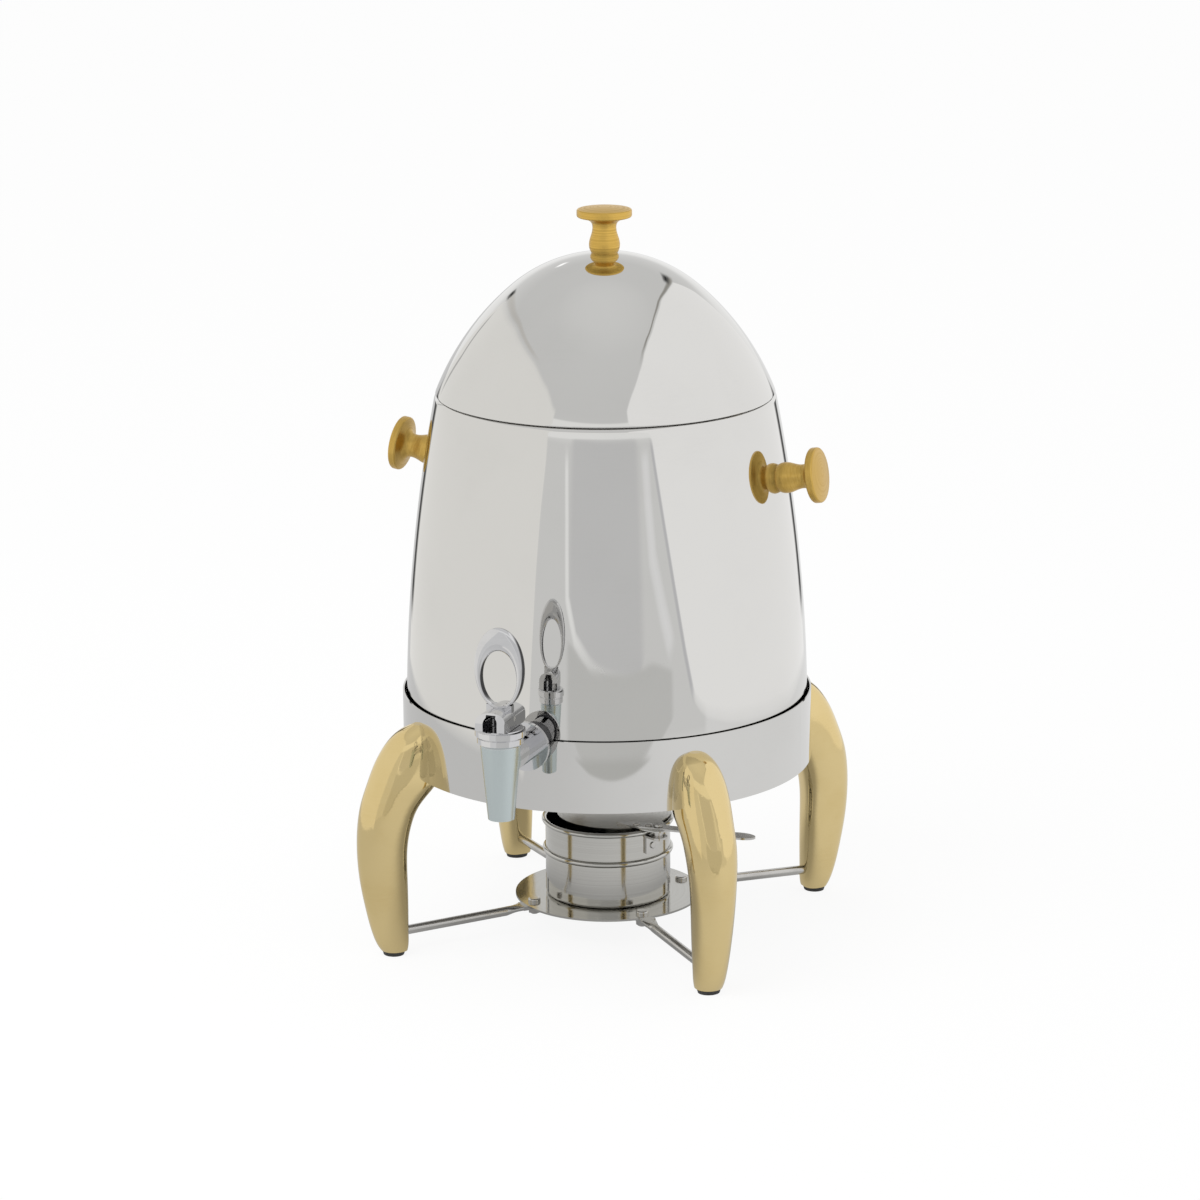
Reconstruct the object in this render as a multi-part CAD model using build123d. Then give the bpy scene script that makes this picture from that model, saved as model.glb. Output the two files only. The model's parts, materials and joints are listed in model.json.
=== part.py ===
from build123d import *
import math
import os

# A beehive coffee urn that stands in a banded, four-legged stand over a fuel-can burner.
# Millimetres, Z up. Everything is drawn about the upright axis of the urn, with the table
# at height 0 and the tap towards -Y, and is moved once, at the end, to the centre of the footprint.

os.makedirs("parts", exist_ok=True)

# Stand band
band_r = 152.5
band_wall = 1.2
band_bottom = 133.0
band_height = 52.8
band_hem = 7.0
band_hem_wall = 1.5
ledge_height = 19.0
ledge_width = 14.0
ledge_wall = 1.5
ledge_drop = 5.0

# Urn: a wall of one long arc, upright at its foot and leaning in towards the seam
urn_play = 1.6
urn_wall = 1.2
urn_arc_r = 1300.0
urn_corner_r = 6.0
urn_foot_width = 12.0
urn_seam_height = 409.0
floor_wall = 1.2
floor_crown = 4.0
rim_seat_width = 10.1
rim_wall = 1.2
rim_lip = 9.0

# Lid: a side arc that runs on from the seam and a round crown
lid_wall = 1.2
lid_rise = 104.3
lid_shoulder_r = 69.5
lid_crown_r = 107.0
lid_side_arc_r = 204.0
lid_band_drop = 14.0
lid_band_play = 0.8

# Knob, the same turned piece on the lid and on both sides
knob_height = 34.0
knob_disc_r = 20.2
knob_disc_rim = 6.0
knob_disc_corner = 1.6
knob_crown = 1.6
knob_neck_r = 8.7
knob_neck_height = 19.0
knob_bulb_r = 11.3
knob_bulb_height = 6.0
knob_foot_r = 9.4
knob_sink = 0.6
handle_below_seam = 54.4

# Screws that hold the knobs and the legs
screw_r = 3.0
screw_head_r = 5.5
screw_head_height = 3.2
screw_bite = 13.0
washer_r = 7.5
washer_wall = 1.4

# Legs. Stand-offs are measured outwards from the band's face.
leg_angles = {"front_right": -45, "front_left": -135, "back_left": 135, "back_right": 45}
leg_inner = 12.0
leg_depth = 49.2
leg_hook = 12.5
leg_width = 38.5
leg_flatness = 0.72
leg_screw_rise = 8.0
leg_screw_washer_r = 5.6
# The leg's form from foot to point: height as a share of the way from the pad to the band (1) and on
# up the band (2), inner face as a share of leg_inner outwards or leg_hook inwards, back as a share of
# leg_depth, breadth as a share of leg_width
leg_form = [
    (0.00, 1.08, 0.65, 0.52),
    (0.09, 1.00, 0.77, 0.60),
    (0.25, 1.00, 0.88, 0.68),
    (0.44, 1.03, 0.97, 0.75),
    (0.63, 1.00, 1.00, 0.83),
    (0.76, 0.72, 0.98, 0.90),
    (0.86, 0.22, 0.935, 0.94),
    (0.93, -0.44, 0.88, 0.97),
    (1.00, -1.00, 0.81, 1.00),
    (1.22, -1.00, 0.71, 0.97),
    (1.43, -1.00, 0.58, 0.90),
    (1.60, -1.00, 0.43, 0.77),
    (1.72, -0.96, 0.25, 0.57),
    (1.79, -0.88, 0.073, 0.29),
]
pad_height = 3.5
pad_inset = 0.9
pad_draft = 1.0
pad_peg_r = 3.0
pad_peg_height = 5.0

# Braces and burner
plate_r = 70.0
plate_wall = 1.5
plate_top = 24.3
rod_r = 3.5
rod_drop = 6.3
rod_slope = 2.0
rod_socket_depth = 8.0
tongue_wall = 3.0
tongue_width = 12.0
tongue_reach = 18.0
tongue_overhang = 2.0
brace_screw_r = 2.5
brace_head_r = 4.6
brace_head_height = 2.6
brace_nut_flats = 8.0
brace_nut_height = 4.0
brace_screw_inset = 9.0
cup_r = 47.0
cup_wall = 1.0
cup_height = 58.0
cup_corner_r = 3.0
cup_rim_r = 1.9
cup_bead_height = 35.0
cup_bead_r = 2.2
cup_rivet_r = 2.0
cup_rivet_head_r = 3.6
cup_rivet_sink_r = 3.2
cup_rivet_head_height = 1.2
cup_rivet_circle_r = 27.0

# Damper over the burner
damper_r = 43.0
damper_wall = 1.0
damper_lift = 0.4
damper_post_reach = 54.5
damper_post_angle = -26.0
damper_ajar = 6.5
damper_post_r = 2.0
damper_ear_r = 8.5
lever_wall = 1.5
lever_width = 10.0
lever_inner = 22.0
lever_outer = 54.5
lever_point = 11.0
spoon_length = 24.0
spoon_width = 13.0
lever_rivet_r = 1.6
lever_rivet_head_r = 2.6
lever_rivet_head_height = 1.1
bush_r = 3.5
bracket_width = 13.0
bracket_wall = 1.6
bracket_drop = 14.0
bracket_tab_gap = 5.0

# Tap, on a shank that leaves the urn through the notch in the band
shank_rise = 32.7
tap_stand_off = 60.5
shank_r = 9.5
shank_inner_length = 18.0
sleeve_r = 12.0
sleeve_stand_off = 1.0
flange_r = 18.0
flange_wall = 3.5
flange_stand_off = 12.0
barrel_r = 10.5
barrel_bore_r = 6.0
notch_gap = 1.5
spout_drop = 39.8
spout_r = 9.5
spout_bore_r = 6.5
spout_top_r = 14.5
tap_ring_r = 16.5
tap_rim_r = 18.0
tap_ring_height = 4.0
tap_groove = 1.5
tap_rise = 26.0
chamber_r = 9.5
seat_drop = 17.0
gasket_wall = 2.5
gasket_r = 12.8
gasket_trim = 2.0
inner_gasket_r = 15.0
inner_gasket_wall = 2.5
shank_washer_r = 15.5
shank_washer_wall = 1.5
shank_nut_flats = 27.0
shank_nut_height = 7.0

# Tap valve
bonnet_r = 16.5
bonnet_height = 1.2
bonnet_corner = 0.5
bonnet_plug = 7.0
stem_r = 3.0
stem_head_width = 7.0
stem_head_rise = 3.0
seat_cup_r = 8.2
seat_cup_height = 9.0
seat_cup_lip = 3.0
seat_cup_wall = 2.2
spring_r = 5.6
spring_wire_r = 0.6
spring_coils = 5
pin_r = 2.0

# Tap lever: a saddle that rocks forward on its toe, with an oval ring standing on it
lever_travel = 20.0
toe_spare = 1.4
heel_reach = 15.0
sole_drop = 7.0
saddle_spare = 2.0
saddle_half_width = 11.0
saddle_shoulder = 1.7
saddle_rise = 7.4
saddle_slot_r = 5.3
saddle_slot_rise = 5.4
handle_half_width = 18.6
handle_half_height = 29.3
handle_hole_half_width = 13.0
handle_hole_half_height = 19.7
handle_hole_drop = 7.2
handle_thickness = 7.0
handle_edge_r = 1.6
handle_centre_rise = 35.6
handle_neck_half_width = 9.5
handle_neck_rise = 10.5

# Clearances
seat_gap = 0.3
fixed_fit = 0.05
running_fit = 0.05

# Heights and radii that follow
band_top = band_bottom + band_height
ledge_top = band_bottom + ledge_height
urn_foot_r = band_r - band_wall - urn_play
urn_bottom = ledge_top + seat_gap
urn_arc_base = urn_bottom + urn_corner_r
urn_top = urn_seam_height - seat_gap / 2
lid_bottom = urn_seam_height + seat_gap / 2
lid_apex = urn_seam_height + lid_rise
plate_bottom = plate_top - plate_wall
rod_height = plate_bottom - rod_drop
rim_centre = plate_top + cup_height
damper_bottom = rim_centre + cup_rim_r + damper_lift
damper_top = damper_bottom + damper_wall
lever_top = damper_top + lever_wall
handle_height = urn_seam_height - handle_below_seam
tap_reach = band_r + tap_stand_off
flange_reach = band_r + flange_stand_off
shank_height = urn_bottom + shank_rise
spout_bottom = shank_height - spout_drop
seat_height = shank_height - seat_drop
tap_top = shank_height + tap_rise
bonnet_top = tap_top + bonnet_height
pin_height = bonnet_top + seat_gap + sole_drop


def urn_r(height, inset=0):
    """Radius of the urn's wall at a height, its outside face moved in by inset."""
    arc_r = urn_arc_r - inset
    return urn_foot_r - urn_arc_r + math.sqrt(arc_r ** 2 - (height - urn_arc_base) ** 2)


mouth_r = urn_r(urn_top, urn_wall) - rim_seat_width


def turned(outline):
    """Solid of revolution about Z from a closed outline drawn as (radius, height)."""
    return revolve(Plane.XZ * make_face(outline), Axis.Z)


def turned_points(*points):
    return turned(Polyline(*points, close=True))


def disc(radius, bottom, height, bore=0):
    """Upright disc, with an optional round hole through it."""
    solid = Pos(0, 0, bottom + height / 2) * Cylinder(radius, height)
    if bore:
        solid -= Pos(0, 0, bottom + height / 2) * Cylinder(bore, height * 2)
    return solid


def hexagon(flats, bottom, height, bore):
    solid = Pos(0, 0, bottom) * extrude(RegularPolygon(flats / 2, 6, major_radius=False), height)
    return solid - disc(bore, bottom - height, height * 3)


def crown_drop(radius, edge_r, rise):
    """How far a shallow round crown, rise high over edge_r, has dropped at a radius."""
    sphere_r = (edge_r ** 2 + rise ** 2) / (2 * rise)
    return sphere_r - math.sqrt(sphere_r ** 2 - radius ** 2)


def on_shank(solid):
    """Lay a piece turned about Z along the tap's shank, its Z becoming the reach from the urn's axis."""
    return Pos(0, 0, shank_height) * Rot(90, 0, 0) * solid


def at_tap(solid):
    return Pos(0, -tap_reach, 0) * solid


def at_side(solid, side):
    """Stand a knob's piece square on the urn's wall, at the right (1) or the left (-1)."""
    lean = math.degrees(math.asin((handle_height - urn_arc_base) / urn_arc_r))
    placed = Pos(urn_r(handle_height), 0, handle_height) * Rot(0, 90 - lean, 0) * solid
    return placed if side > 0 else mirror(placed, Plane.YZ)


# Stand

def urn_core(inset=0, above=urn_bottom):
    """The urn's outer form as a filled solid, with its face moved in by inset."""
    mid = (urn_arc_base + urn_seam_height) / 2
    outline = Polyline((urn_r(urn_seam_height, inset), urn_seam_height), (0, urn_seam_height),
                       (0, above), (urn_r(urn_arc_base, inset), above),
                       (urn_r(urn_arc_base, inset), urn_arc_base))
    side = ThreePointArc((urn_r(urn_arc_base, inset), urn_arc_base), (urn_r(mid, inset), mid),
                         (urn_r(urn_seam_height, inset), urn_seam_height))
    return turned(outline + side)


def stand_ring():
    inner = band_r - band_wall
    ring = turned_points((inner - band_hem, band_bottom), (band_r, band_bottom), (band_r, band_top),
                         (inner, band_top), (inner, band_bottom + band_hem_wall),
                         (inner - band_hem, band_bottom + band_hem_wall))
    notch_r = sleeve_r + notch_gap
    notch_depth = band_r * 0.2
    notch = Pos(0, -band_r, shank_height) * Rot(90, 0, 0) * Cylinder(notch_r, notch_depth)
    open_top = Pos(0, -band_r, shank_height + band_height / 2)
    notch += open_top * Box(notch_r * 2, notch_depth, band_height)
    for angle in leg_angles.values():
        ring -= Rot(0, 0, angle) * leg_screw_hole(screw_r + fixed_fit)
    return ring - notch


def urn_ledge():
    """Angle hoop welded inside the band; the urn's foot rests on its flat top."""
    outer = band_r - band_wall
    return turned_points((outer - ledge_width, ledge_top), (outer, ledge_top),
                         (outer, ledge_top - ledge_drop), (outer - ledge_wall, ledge_top - ledge_drop),
                         (outer - ledge_wall, ledge_top - ledge_wall),
                         (outer - ledge_width, ledge_top - ledge_wall))


def leg_screw_hole(radius):
    length = screw_bite + band_wall * 2
    centre = Pos(band_r + screw_bite - length / 2, 0, band_bottom + leg_screw_rise)
    return centre * Rot(0, 90, 0) * Cylinder(radius, length)


def leg_stand(place):
    """Height, inner and outer stand-off and breadth of the leg at one place of its form."""
    height, inside, outside, width = leg_form[place]
    if height > 1:
        level = band_bottom + (height - 1) * band_height
    else:
        level = pad_height + height * (band_bottom - pad_height)
    inner = inside * (leg_inner if inside > 0 else leg_hook)
    return level, inner, outside * leg_depth, width * leg_width


def leg_slice(place):
    """Slice through the leg: a round back and a flatter inner face."""
    level, inside, outside, width = leg_stand(place)
    middle = band_r + (inside + outside) / 2
    half_depth = (outside - inside) / 2
    points = []
    for step in range(16):
        turn = math.tau * step / 16
        power = 1.0 if math.cos(turn) > 0 else leg_flatness
        depth = math.copysign(abs(math.cos(turn)) ** power, math.cos(turn))
        across = math.copysign(abs(math.sin(turn)) ** power, math.sin(turn))
        points.append((middle + half_depth * depth, width / 2 * across))
    return Pos(0, 0, level) * make_face(Spline(*points, periodic=True))


def leg():
    """Tusk-shaped casting that hooks under the band and rises to a point against its face."""
    solid = loft([leg_slice(place) for place in range(len(leg_form))])
    solid -= disc(band_r, band_bottom, band_height * 2)
    solid -= leg_screw_hole(screw_r + fixed_fit)
    solid -= along_rod(disc(rod_r + fixed_fit, -fixed_fit, band_r / 2))
    peg = disc(pad_peg_r + fixed_fit, 0, pad_height + pad_peg_height + fixed_fit)
    return solid - Pos(pad_middle(), 0, 0) * peg


def rod_end():
    return band_r + leg_inner + rod_socket_depth


def along_rod(solid):
    """Lay a piece turned about Z along a brace rod, from its end in the leg inwards and a little up."""
    return Pos(rod_end(), 0, rod_height) * Rot(0, rod_slope - 90, 0) * solid


def pad_middle():
    level, inside, outside, width = leg_stand(0)
    return band_r + (inside + outside) / 2


def foot_pad():
    """Black pad under a leg, with a peg pressed up into the casting."""
    level, inside, outside, width = leg_stand(0)
    half_length = (outside - inside) / 2 - pad_inset
    half_width = width / 2 - pad_inset
    lower = Ellipse(half_length - pad_draft, half_width - pad_draft)
    upper = Pos(0, 0, pad_height) * Ellipse(half_length, half_width)
    pad = loft([lower, upper]) + disc(pad_peg_r, pad_height, pad_peg_height)
    return Pos(pad_middle(), 0, 0) * pad


def leg_screw():
    inner = band_r - band_wall - washer_wall
    head = Pos(inner - screw_head_height, 0, 0) * Rot(0, 90, 0) * disc(screw_head_r, 0, screw_head_height)
    length = band_r + screw_bite - fixed_fit - inner
    shank = Pos(inner, 0, 0) * Rot(0, 90, 0) * disc(screw_r, 0, length)
    return Pos(0, 0, band_bottom + leg_screw_rise) * (head + shank)


def leg_washer():
    """Washer bent to the inside of the band."""
    outer = band_r - band_wall
    flat = Pos(outer - washer_wall, 0, 0) * Rot(0, 90, 0)
    washer = flat * disc(leg_screw_washer_r, 0, washer_wall, screw_r + fixed_fit)
    washer = Pos(0, 0, band_bottom + leg_screw_rise) * washer
    return washer & disc(outer, band_bottom, band_height)


def brace_rod():
    """Round rod from a leg to the burner plate, its inner end flattened to a tongue."""
    tongue_tip = plate_r - tongue_reach
    tongue_end = plate_r + tongue_overhang
    neck_end = tongue_end + tongue_width
    tongue_middle = plate_bottom - tongue_wall / 2
    flat = Pos((tongue_tip + tongue_end) / 2, 0, tongue_middle)
    tongue = flat * Box(tongue_end - tongue_tip, tongue_width, tongue_wall)
    tongue = fillet(tongue.edges().filter_by(Axis.Z).group_by(Axis.X)[0], tongue_width * 0.45)
    across = Plane((tongue_end, 0, tongue_middle), x_dir=(0, 1, 0), z_dir=(1, 0, 0))
    slope = math.radians(rod_slope)
    neck_height = rod_height + (rod_end() - neck_end) * math.tan(slope)
    round_end = Plane((neck_end, 0, neck_height), x_dir=(0, 1, 0), z_dir=(math.cos(slope), 0, -math.sin(slope)))
    neck = loft([across * RectangleRounded(tongue_width, tongue_wall, tongue_wall * 0.3),
                 round_end * Circle(rod_r)])
    rod = along_rod(disc(rod_r, 0, (rod_end() - neck_end) / math.cos(slope)))
    solid = tongue + neck + rod
    return solid - Pos(brace_screw_x(), 0, 0) * disc(brace_screw_r + fixed_fit, 0, plate_top)


def brace_screw_x():
    return plate_r - brace_screw_inset


def burner_plate():
    plate = disc(plate_r, plate_bottom, plate_wall)
    for angle in leg_angles.values():
        hole = disc(brace_screw_r + fixed_fit, 0, plate_top * 2)
        plate -= Rot(0, 0, angle) * Pos(brace_screw_x(), 0, 0) * hole
    for rivet in range(3):
        plate -= cup_rivet_place(rivet) * disc(cup_rivet_r + fixed_fit, 0, plate_top * 2)
    return plate


def brace_screw():
    """Pan-head screw down through the plate and a rod's tongue."""
    head = disc(brace_head_r, plate_top, brace_head_height)
    head = fillet(head.edges().group_by(Axis.Z)[-1], brace_head_height * 0.45)
    shank_bottom = plate_bottom - tongue_wall - brace_nut_height - 1
    return Pos(brace_screw_x(), 0, 0) * (head + disc(brace_screw_r, shank_bottom, plate_top - shank_bottom))


def brace_nut():
    bottom = plate_bottom - tongue_wall - brace_nut_height
    return Pos(brace_screw_x(), 0, 0) * hexagon(brace_nut_flats, bottom, brace_nut_height,
                                                brace_screw_r + fixed_fit)


def cup_rivet_place(number):
    return Rot(0, 0, 90 + number * 120) * Pos(cup_rivet_circle_r, 0, 0)


def burner_cup():
    """Open cup for the fuel can, with a raised bead round its wall and an outward rolled rim."""
    bead = plate_top + cup_bead_height
    wall_top = rim_centre
    outline = Polyline((cup_r, wall_top), (cup_r - cup_wall, wall_top),
                       (cup_r - cup_wall, plate_top + cup_wall), (0, plate_top + cup_wall),
                       (0, plate_top), (cup_r - cup_corner_r, plate_top))
    outline += RadiusArc((cup_r - cup_corner_r, plate_top), (cup_r, plate_top + cup_corner_r),
                         -cup_corner_r)
    outline += Line((cup_r, plate_top + cup_corner_r), (cup_r, bead - cup_bead_r))
    outline += ThreePointArc((cup_r, bead - cup_bead_r), (cup_r + cup_bead_r, bead),
                             (cup_r, bead + cup_bead_r))
    outline += Line((cup_r, bead + cup_bead_r), (cup_r, wall_top))
    cup = turned(outline)
    rolled = Plane.XZ * Pos(cup_r - cup_wall + cup_rim_r, rim_centre) * Circle(cup_rim_r)
    cup += revolve(rolled, Axis.Z)
    for rivet in range(3):
        cup -= cup_rivet_place(rivet) * sunk_head(fixed_fit, plate_top * 2)
    return cup - bracket_rivet_hole(lever_rivet_r + fixed_fit)


def sunk_head(gap, top):
    """Cone through the cup's floor, carried on up to a height, for a rivet's head to lie flush in."""
    floor = plate_top + cup_wall
    return turned_points((0, plate_top), (cup_rivet_r + gap, plate_top), (cup_rivet_sink_r + gap, floor),
                         (cup_rivet_sink_r + gap, top), (0, top))


def cup_rivet():
    """Rivet with a sunk head, so that the fuel can stands flat on the cup's floor."""
    head_bottom = plate_bottom - cup_rivet_head_height
    floor = plate_top + cup_wall
    return turned_points((0, head_bottom), (cup_rivet_head_r, head_bottom), (cup_rivet_head_r, plate_bottom),
                         (cup_rivet_r, plate_bottom), (cup_rivet_r, plate_top), (cup_rivet_sink_r, floor),
                         (0, floor))


# Damper: post and bracket stay on the cup, the disc and its lever swing

def at_post(solid):
    return Rot(0, 0, damper_post_angle) * Pos(damper_post_reach, 0, 0) * Rot(0, 0, -damper_post_angle) * solid


def tab_top():
    return damper_bottom - bracket_tab_gap


def bracket_rivet_hole(radius):
    """Round bar through the cup's wall where the bracket is riveted on."""
    height = tab_top() - bracket_drop * 0.6
    bar = Pos(cup_r, 0, height) * Rot(0, 90, 0) * Cylinder(radius, cup_r / 2)
    return Rot(0, 0, damper_post_angle) * bar


def damper_bracket():
    """Strap riveted to the cup and bent out under the damper's post."""
    outer = cup_r + bracket_wall
    upright = Pos((cup_r - 1 + outer) / 2, 0, tab_top() - bracket_drop / 2)
    strap = upright * Box(outer - cup_r + 1, bracket_width, bracket_drop)
    tab_end = damper_post_reach + bracket_width / 2
    tab = Pos((cup_r - 1 + tab_end) / 2, 0, tab_top() - bracket_wall / 2)
    strap += tab * Box(tab_end - cup_r + 1, bracket_width, bracket_wall)
    strap = fillet(strap.edges().filter_by(Axis.Z).group_by(Axis.X)[-1], bracket_width * 0.4)
    strap = Rot(0, 0, damper_post_angle) * strap
    strap -= disc(cup_r, 0, damper_bottom)
    strap -= bracket_rivet_hole(lever_rivet_r + fixed_fit)
    return strap - at_post(disc(damper_post_r + fixed_fit, 0, lever_top))


def bracket_rivet():
    height = tab_top() - bracket_drop * 0.6
    outer = cup_r + bracket_wall
    inner = cup_r - cup_wall + fixed_fit
    shank = Pos(inner, 0, height) * Rot(0, 90, 0) * disc(lever_rivet_r, 0, outer - inner)
    head = Pos(outer, 0, height) * Rot(0, 90, 0) * disc(lever_rivet_head_r, 0, lever_rivet_head_height)
    head = fillet(head.edges().sort_by(Axis.X)[-1], lever_rivet_head_height * 0.6)
    return Rot(0, 0, damper_post_angle) * (shank + head)


def damper_post():
    """Upright pivot pin, headed under the bracket and over the lever."""
    foot = tab_top() - bracket_wall
    head = lever_top + seat_gap
    pin = disc(damper_post_r, foot, head - foot)
    pin += disc(bush_r, foot - 1.5, 1.5)
    return at_post(pin + disc(bush_r, head, 1.5))


def damper_bush():
    return at_post(disc(bush_r, tab_top(), damper_bottom - seat_gap - tab_top(), damper_post_r + fixed_fit))


def damper_disc():
    """Round cover on the cup, with an ear out to the post, standing a little ajar."""
    centre = at_post(Rot(0, 0, -damper_ajar) * Rot(0, 0, damper_post_angle)) * Pos(-damper_post_reach, 0, 0)
    ear = at_post(Pos(0, 0, damper_bottom) * Circle(damper_ear_r))
    cover = make_hull((centre * Pos(0, 0, damper_bottom) * Circle(damper_r * 0.62)).edges() + ear.edges())
    solid = extrude(cover, damper_wall) + centre * disc(damper_r, damper_bottom, damper_wall)
    solid -= at_post(disc(damper_post_r + running_fit, 0, lever_top * 2))
    for along in lever_rivet_places():
        solid -= at_post(Pos(-along, 0, 0) * disc(lever_rivet_r + fixed_fit, 0, lever_top * 2))
    return solid


def lever_rivet_places():
    return (lever_inner * 0.35, lever_inner * 0.78)


def damper_lever():
    """Flat strip over the disc and the post: pointed over the disc, leaf-shaped at its outer end."""
    half = lever_width / 2
    strip = make_face(Polyline((-lever_inner - lever_point, 0), (-lever_inner, half), (0, half),
                               (lever_outer, half * 0.8), (lever_outer, -half * 0.8), (0, -half),
                               (-lever_inner, -half), close=True))
    outline = strip + Pos(lever_outer + spoon_length * 0.4, 0) * Ellipse(spoon_length / 2, spoon_width / 2)
    solid = at_post(Pos(0, 0, damper_top) * extrude(outline, lever_wall))
    solid -= at_post(disc(damper_post_r + running_fit, 0, lever_top * 2))
    for along in lever_rivet_places():
        solid -= at_post(Pos(-along, 0, 0) * disc(lever_rivet_r + fixed_fit, 0, lever_top * 2))
    return solid


def lever_rivet(along):
    shank = disc(lever_rivet_r, damper_bottom, lever_top - damper_bottom)
    head = disc(lever_rivet_head_r, lever_top, lever_rivet_head_height)
    head = fillet(head.edges().group_by(Axis.Z)[-1], lever_rivet_head_height * 0.6)
    return at_post(Pos(-along, 0, 0) * (shank + head))


# Urn

def vessel_wall():
    """Drawn wall with a rounded foot turned in to carry the floor."""
    mid = (urn_arc_base + urn_top) / 2
    foot = urn_foot_r - urn_corner_r
    inner_corner = urn_corner_r - urn_wall
    outer_side = ThreePointArc((urn_foot_r, urn_arc_base), (urn_r(mid), mid), (urn_r(urn_top), urn_top))
    inner_side = ThreePointArc((urn_r(urn_top, urn_wall), urn_top), (urn_r(mid, urn_wall), mid),
                               (urn_foot_r - urn_wall, urn_arc_base))
    outline = RadiusArc((foot, urn_bottom), (urn_foot_r, urn_arc_base), -urn_corner_r)
    outline += outer_side
    outline += Line((urn_r(urn_top), urn_top), (urn_r(urn_top, urn_wall), urn_top))
    outline += inner_side
    outline += RadiusArc((urn_foot_r - urn_wall, urn_arc_base), (foot, urn_bottom + urn_wall), inner_corner)
    outline += Polyline((foot, urn_bottom + urn_wall), (foot - urn_foot_width, urn_bottom + urn_wall),
                        (foot - urn_foot_width, urn_bottom), (foot, urn_bottom))
    wall = turned(outline)
    wall -= on_shank(disc(shank_r + fixed_fit, urn_foot_r * 0.8, urn_foot_r * 0.4))
    for side in (1, -1):
        wall -= at_side(disc(screw_r + fixed_fit, -screw_bite, screw_bite * 2), side)
    return wall


def vessel_floor():
    """Floor plate with a slight crown, welded on the wall's turned-in foot."""
    base = urn_bottom + urn_wall
    edge = urn_foot_r - urn_corner_r
    flat_r = edge - urn_foot_width
    middle = base + floor_crown - crown_drop(flat_r / 2, flat_r, floor_crown)
    outline = Line((0, base + floor_crown + floor_wall), (0, base + floor_crown))
    outline += ThreePointArc((0, base + floor_crown), (flat_r / 2, middle), (flat_r, base))
    outline += Polyline((flat_r, base), (edge, base), (edge, base + floor_wall), (flat_r, base + floor_wall))
    outline += ThreePointArc((flat_r, base + floor_wall), (flat_r / 2, middle + floor_wall),
                             (0, base + floor_crown + floor_wall))
    return turned(outline)


def vessel_rim():
    """Ring inside the top of the wall: a flat seat for the lid and a lip turned down at the mouth."""
    seat = urn_top
    skirt = urn_top - rim_lip
    return turned_points((mouth_r, seat), (urn_r(seat, urn_wall + fixed_fit), seat),
                         (urn_r(skirt, urn_wall + fixed_fit), skirt),
                         (urn_r(skirt, urn_wall + rim_wall), skirt),
                         (urn_r(seat, urn_wall + rim_wall), seat - rim_wall),
                         (mouth_r + rim_wall, seat - rim_wall), (mouth_r + rim_wall, skirt),
                         (mouth_r, skirt))


def knob():
    """Mushroom knob: rounded foot swelling to a bulb, a waist, a coned underside and a low crown."""
    rim_top = knob_height - knob_crown
    rim_bottom = rim_top - knob_disc_rim
    foot = (knob_foot_r, 0)
    bulb = (knob_bulb_r, knob_bulb_height)
    neck = (knob_neck_r, knob_neck_height)
    under = (knob_disc_r - knob_disc_corner, rim_bottom)
    crown_r = knob_disc_r - knob_disc_corner
    middle = knob_height - crown_drop(crown_r / 2, crown_r, knob_crown)
    outline = Polyline((0, knob_height), (0, 0), foot)
    outline += TangentArc(bulb, foot, tangent=(0, -1))
    outline += Spline(bulb, neck, tangents=((0, 1), (0, 1)))
    outline += Spline(neck, under, tangents=((0, 1), (1, 0.3)))
    outline += RadiusArc(under, (knob_disc_r, rim_bottom + knob_disc_corner), -knob_disc_corner)
    outline += Line((knob_disc_r, rim_bottom + knob_disc_corner), (knob_disc_r, rim_top - knob_disc_corner))
    outline += RadiusArc((knob_disc_r, rim_top - knob_disc_corner), (crown_r, rim_top), -knob_disc_corner)
    outline += ThreePointArc((crown_r, rim_top), (crown_r / 2, middle), (0, knob_height))
    return turned(outline) - disc(screw_r + fixed_fit, 0, screw_bite)


def handle(side):
    """Side knob, its foot shaped to the urn's wall."""
    seated = Pos(0, 0, -knob_sink) * knob()
    return at_side(seated, side) - urn_core()


def handle_screw(side):
    seat = -urn_wall - washer_wall
    head = disc(screw_head_r, seat - screw_head_height, screw_head_height)
    head = fillet(head.edges().group_by(Axis.Z)[0], screw_head_height * 0.4)
    return at_side(head + disc(screw_r, seat, screw_bite - 1 - seat), side)


def handle_washer(side):
    """Sealing washer inside the wall, shaped to its curve."""
    washer = disc(washer_r, -urn_wall - washer_wall, washer_wall * 2, screw_r + fixed_fit)
    return at_side(washer, side) & urn_core(urn_wall)


# Tap

def tap_body():
    """Cast spout, barrel, flange and shank in one, with the ways for the drink bored through."""
    ring_top = tap_top - tap_ring_height
    neck_top = ring_top - tap_groove
    neck_bottom = neck_top - tap_ring_height
    body = turned_points((0, spout_bottom), (spout_r, spout_bottom),
                         (spout_top_r, neck_bottom - tap_groove), (tap_ring_r, neck_bottom),
                         (tap_ring_r, neck_top), (tap_ring_r - tap_groove, neck_top),
                         (tap_ring_r - tap_groove, ring_top), (tap_rim_r, ring_top),
                         (tap_rim_r, tap_top), (0, tap_top))
    body = at_tap(body)
    shoulder = urn_foot_r + gasket_wall + sleeve_stand_off
    shank_end = urn_r(shank_height, urn_wall) - shank_inner_length
    body += on_shank(disc(barrel_r, flange_reach, tap_reach - flange_reach))
    body += on_shank(disc(flange_r, flange_reach, flange_wall))
    body += on_shank(disc(sleeve_r, shoulder, flange_reach - shoulder))
    body += on_shank(disc(shank_r, shank_end, shoulder - shank_end))
    body -= on_shank(disc(barrel_bore_r, shank_end - 1, tap_reach - shank_end + 1))
    body -= at_tap(disc(spout_bore_r, spout_bottom - 1, seat_height - spout_bottom + 1))
    return body - at_tap(disc(chamber_r, seat_height, tap_top - seat_height))


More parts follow.
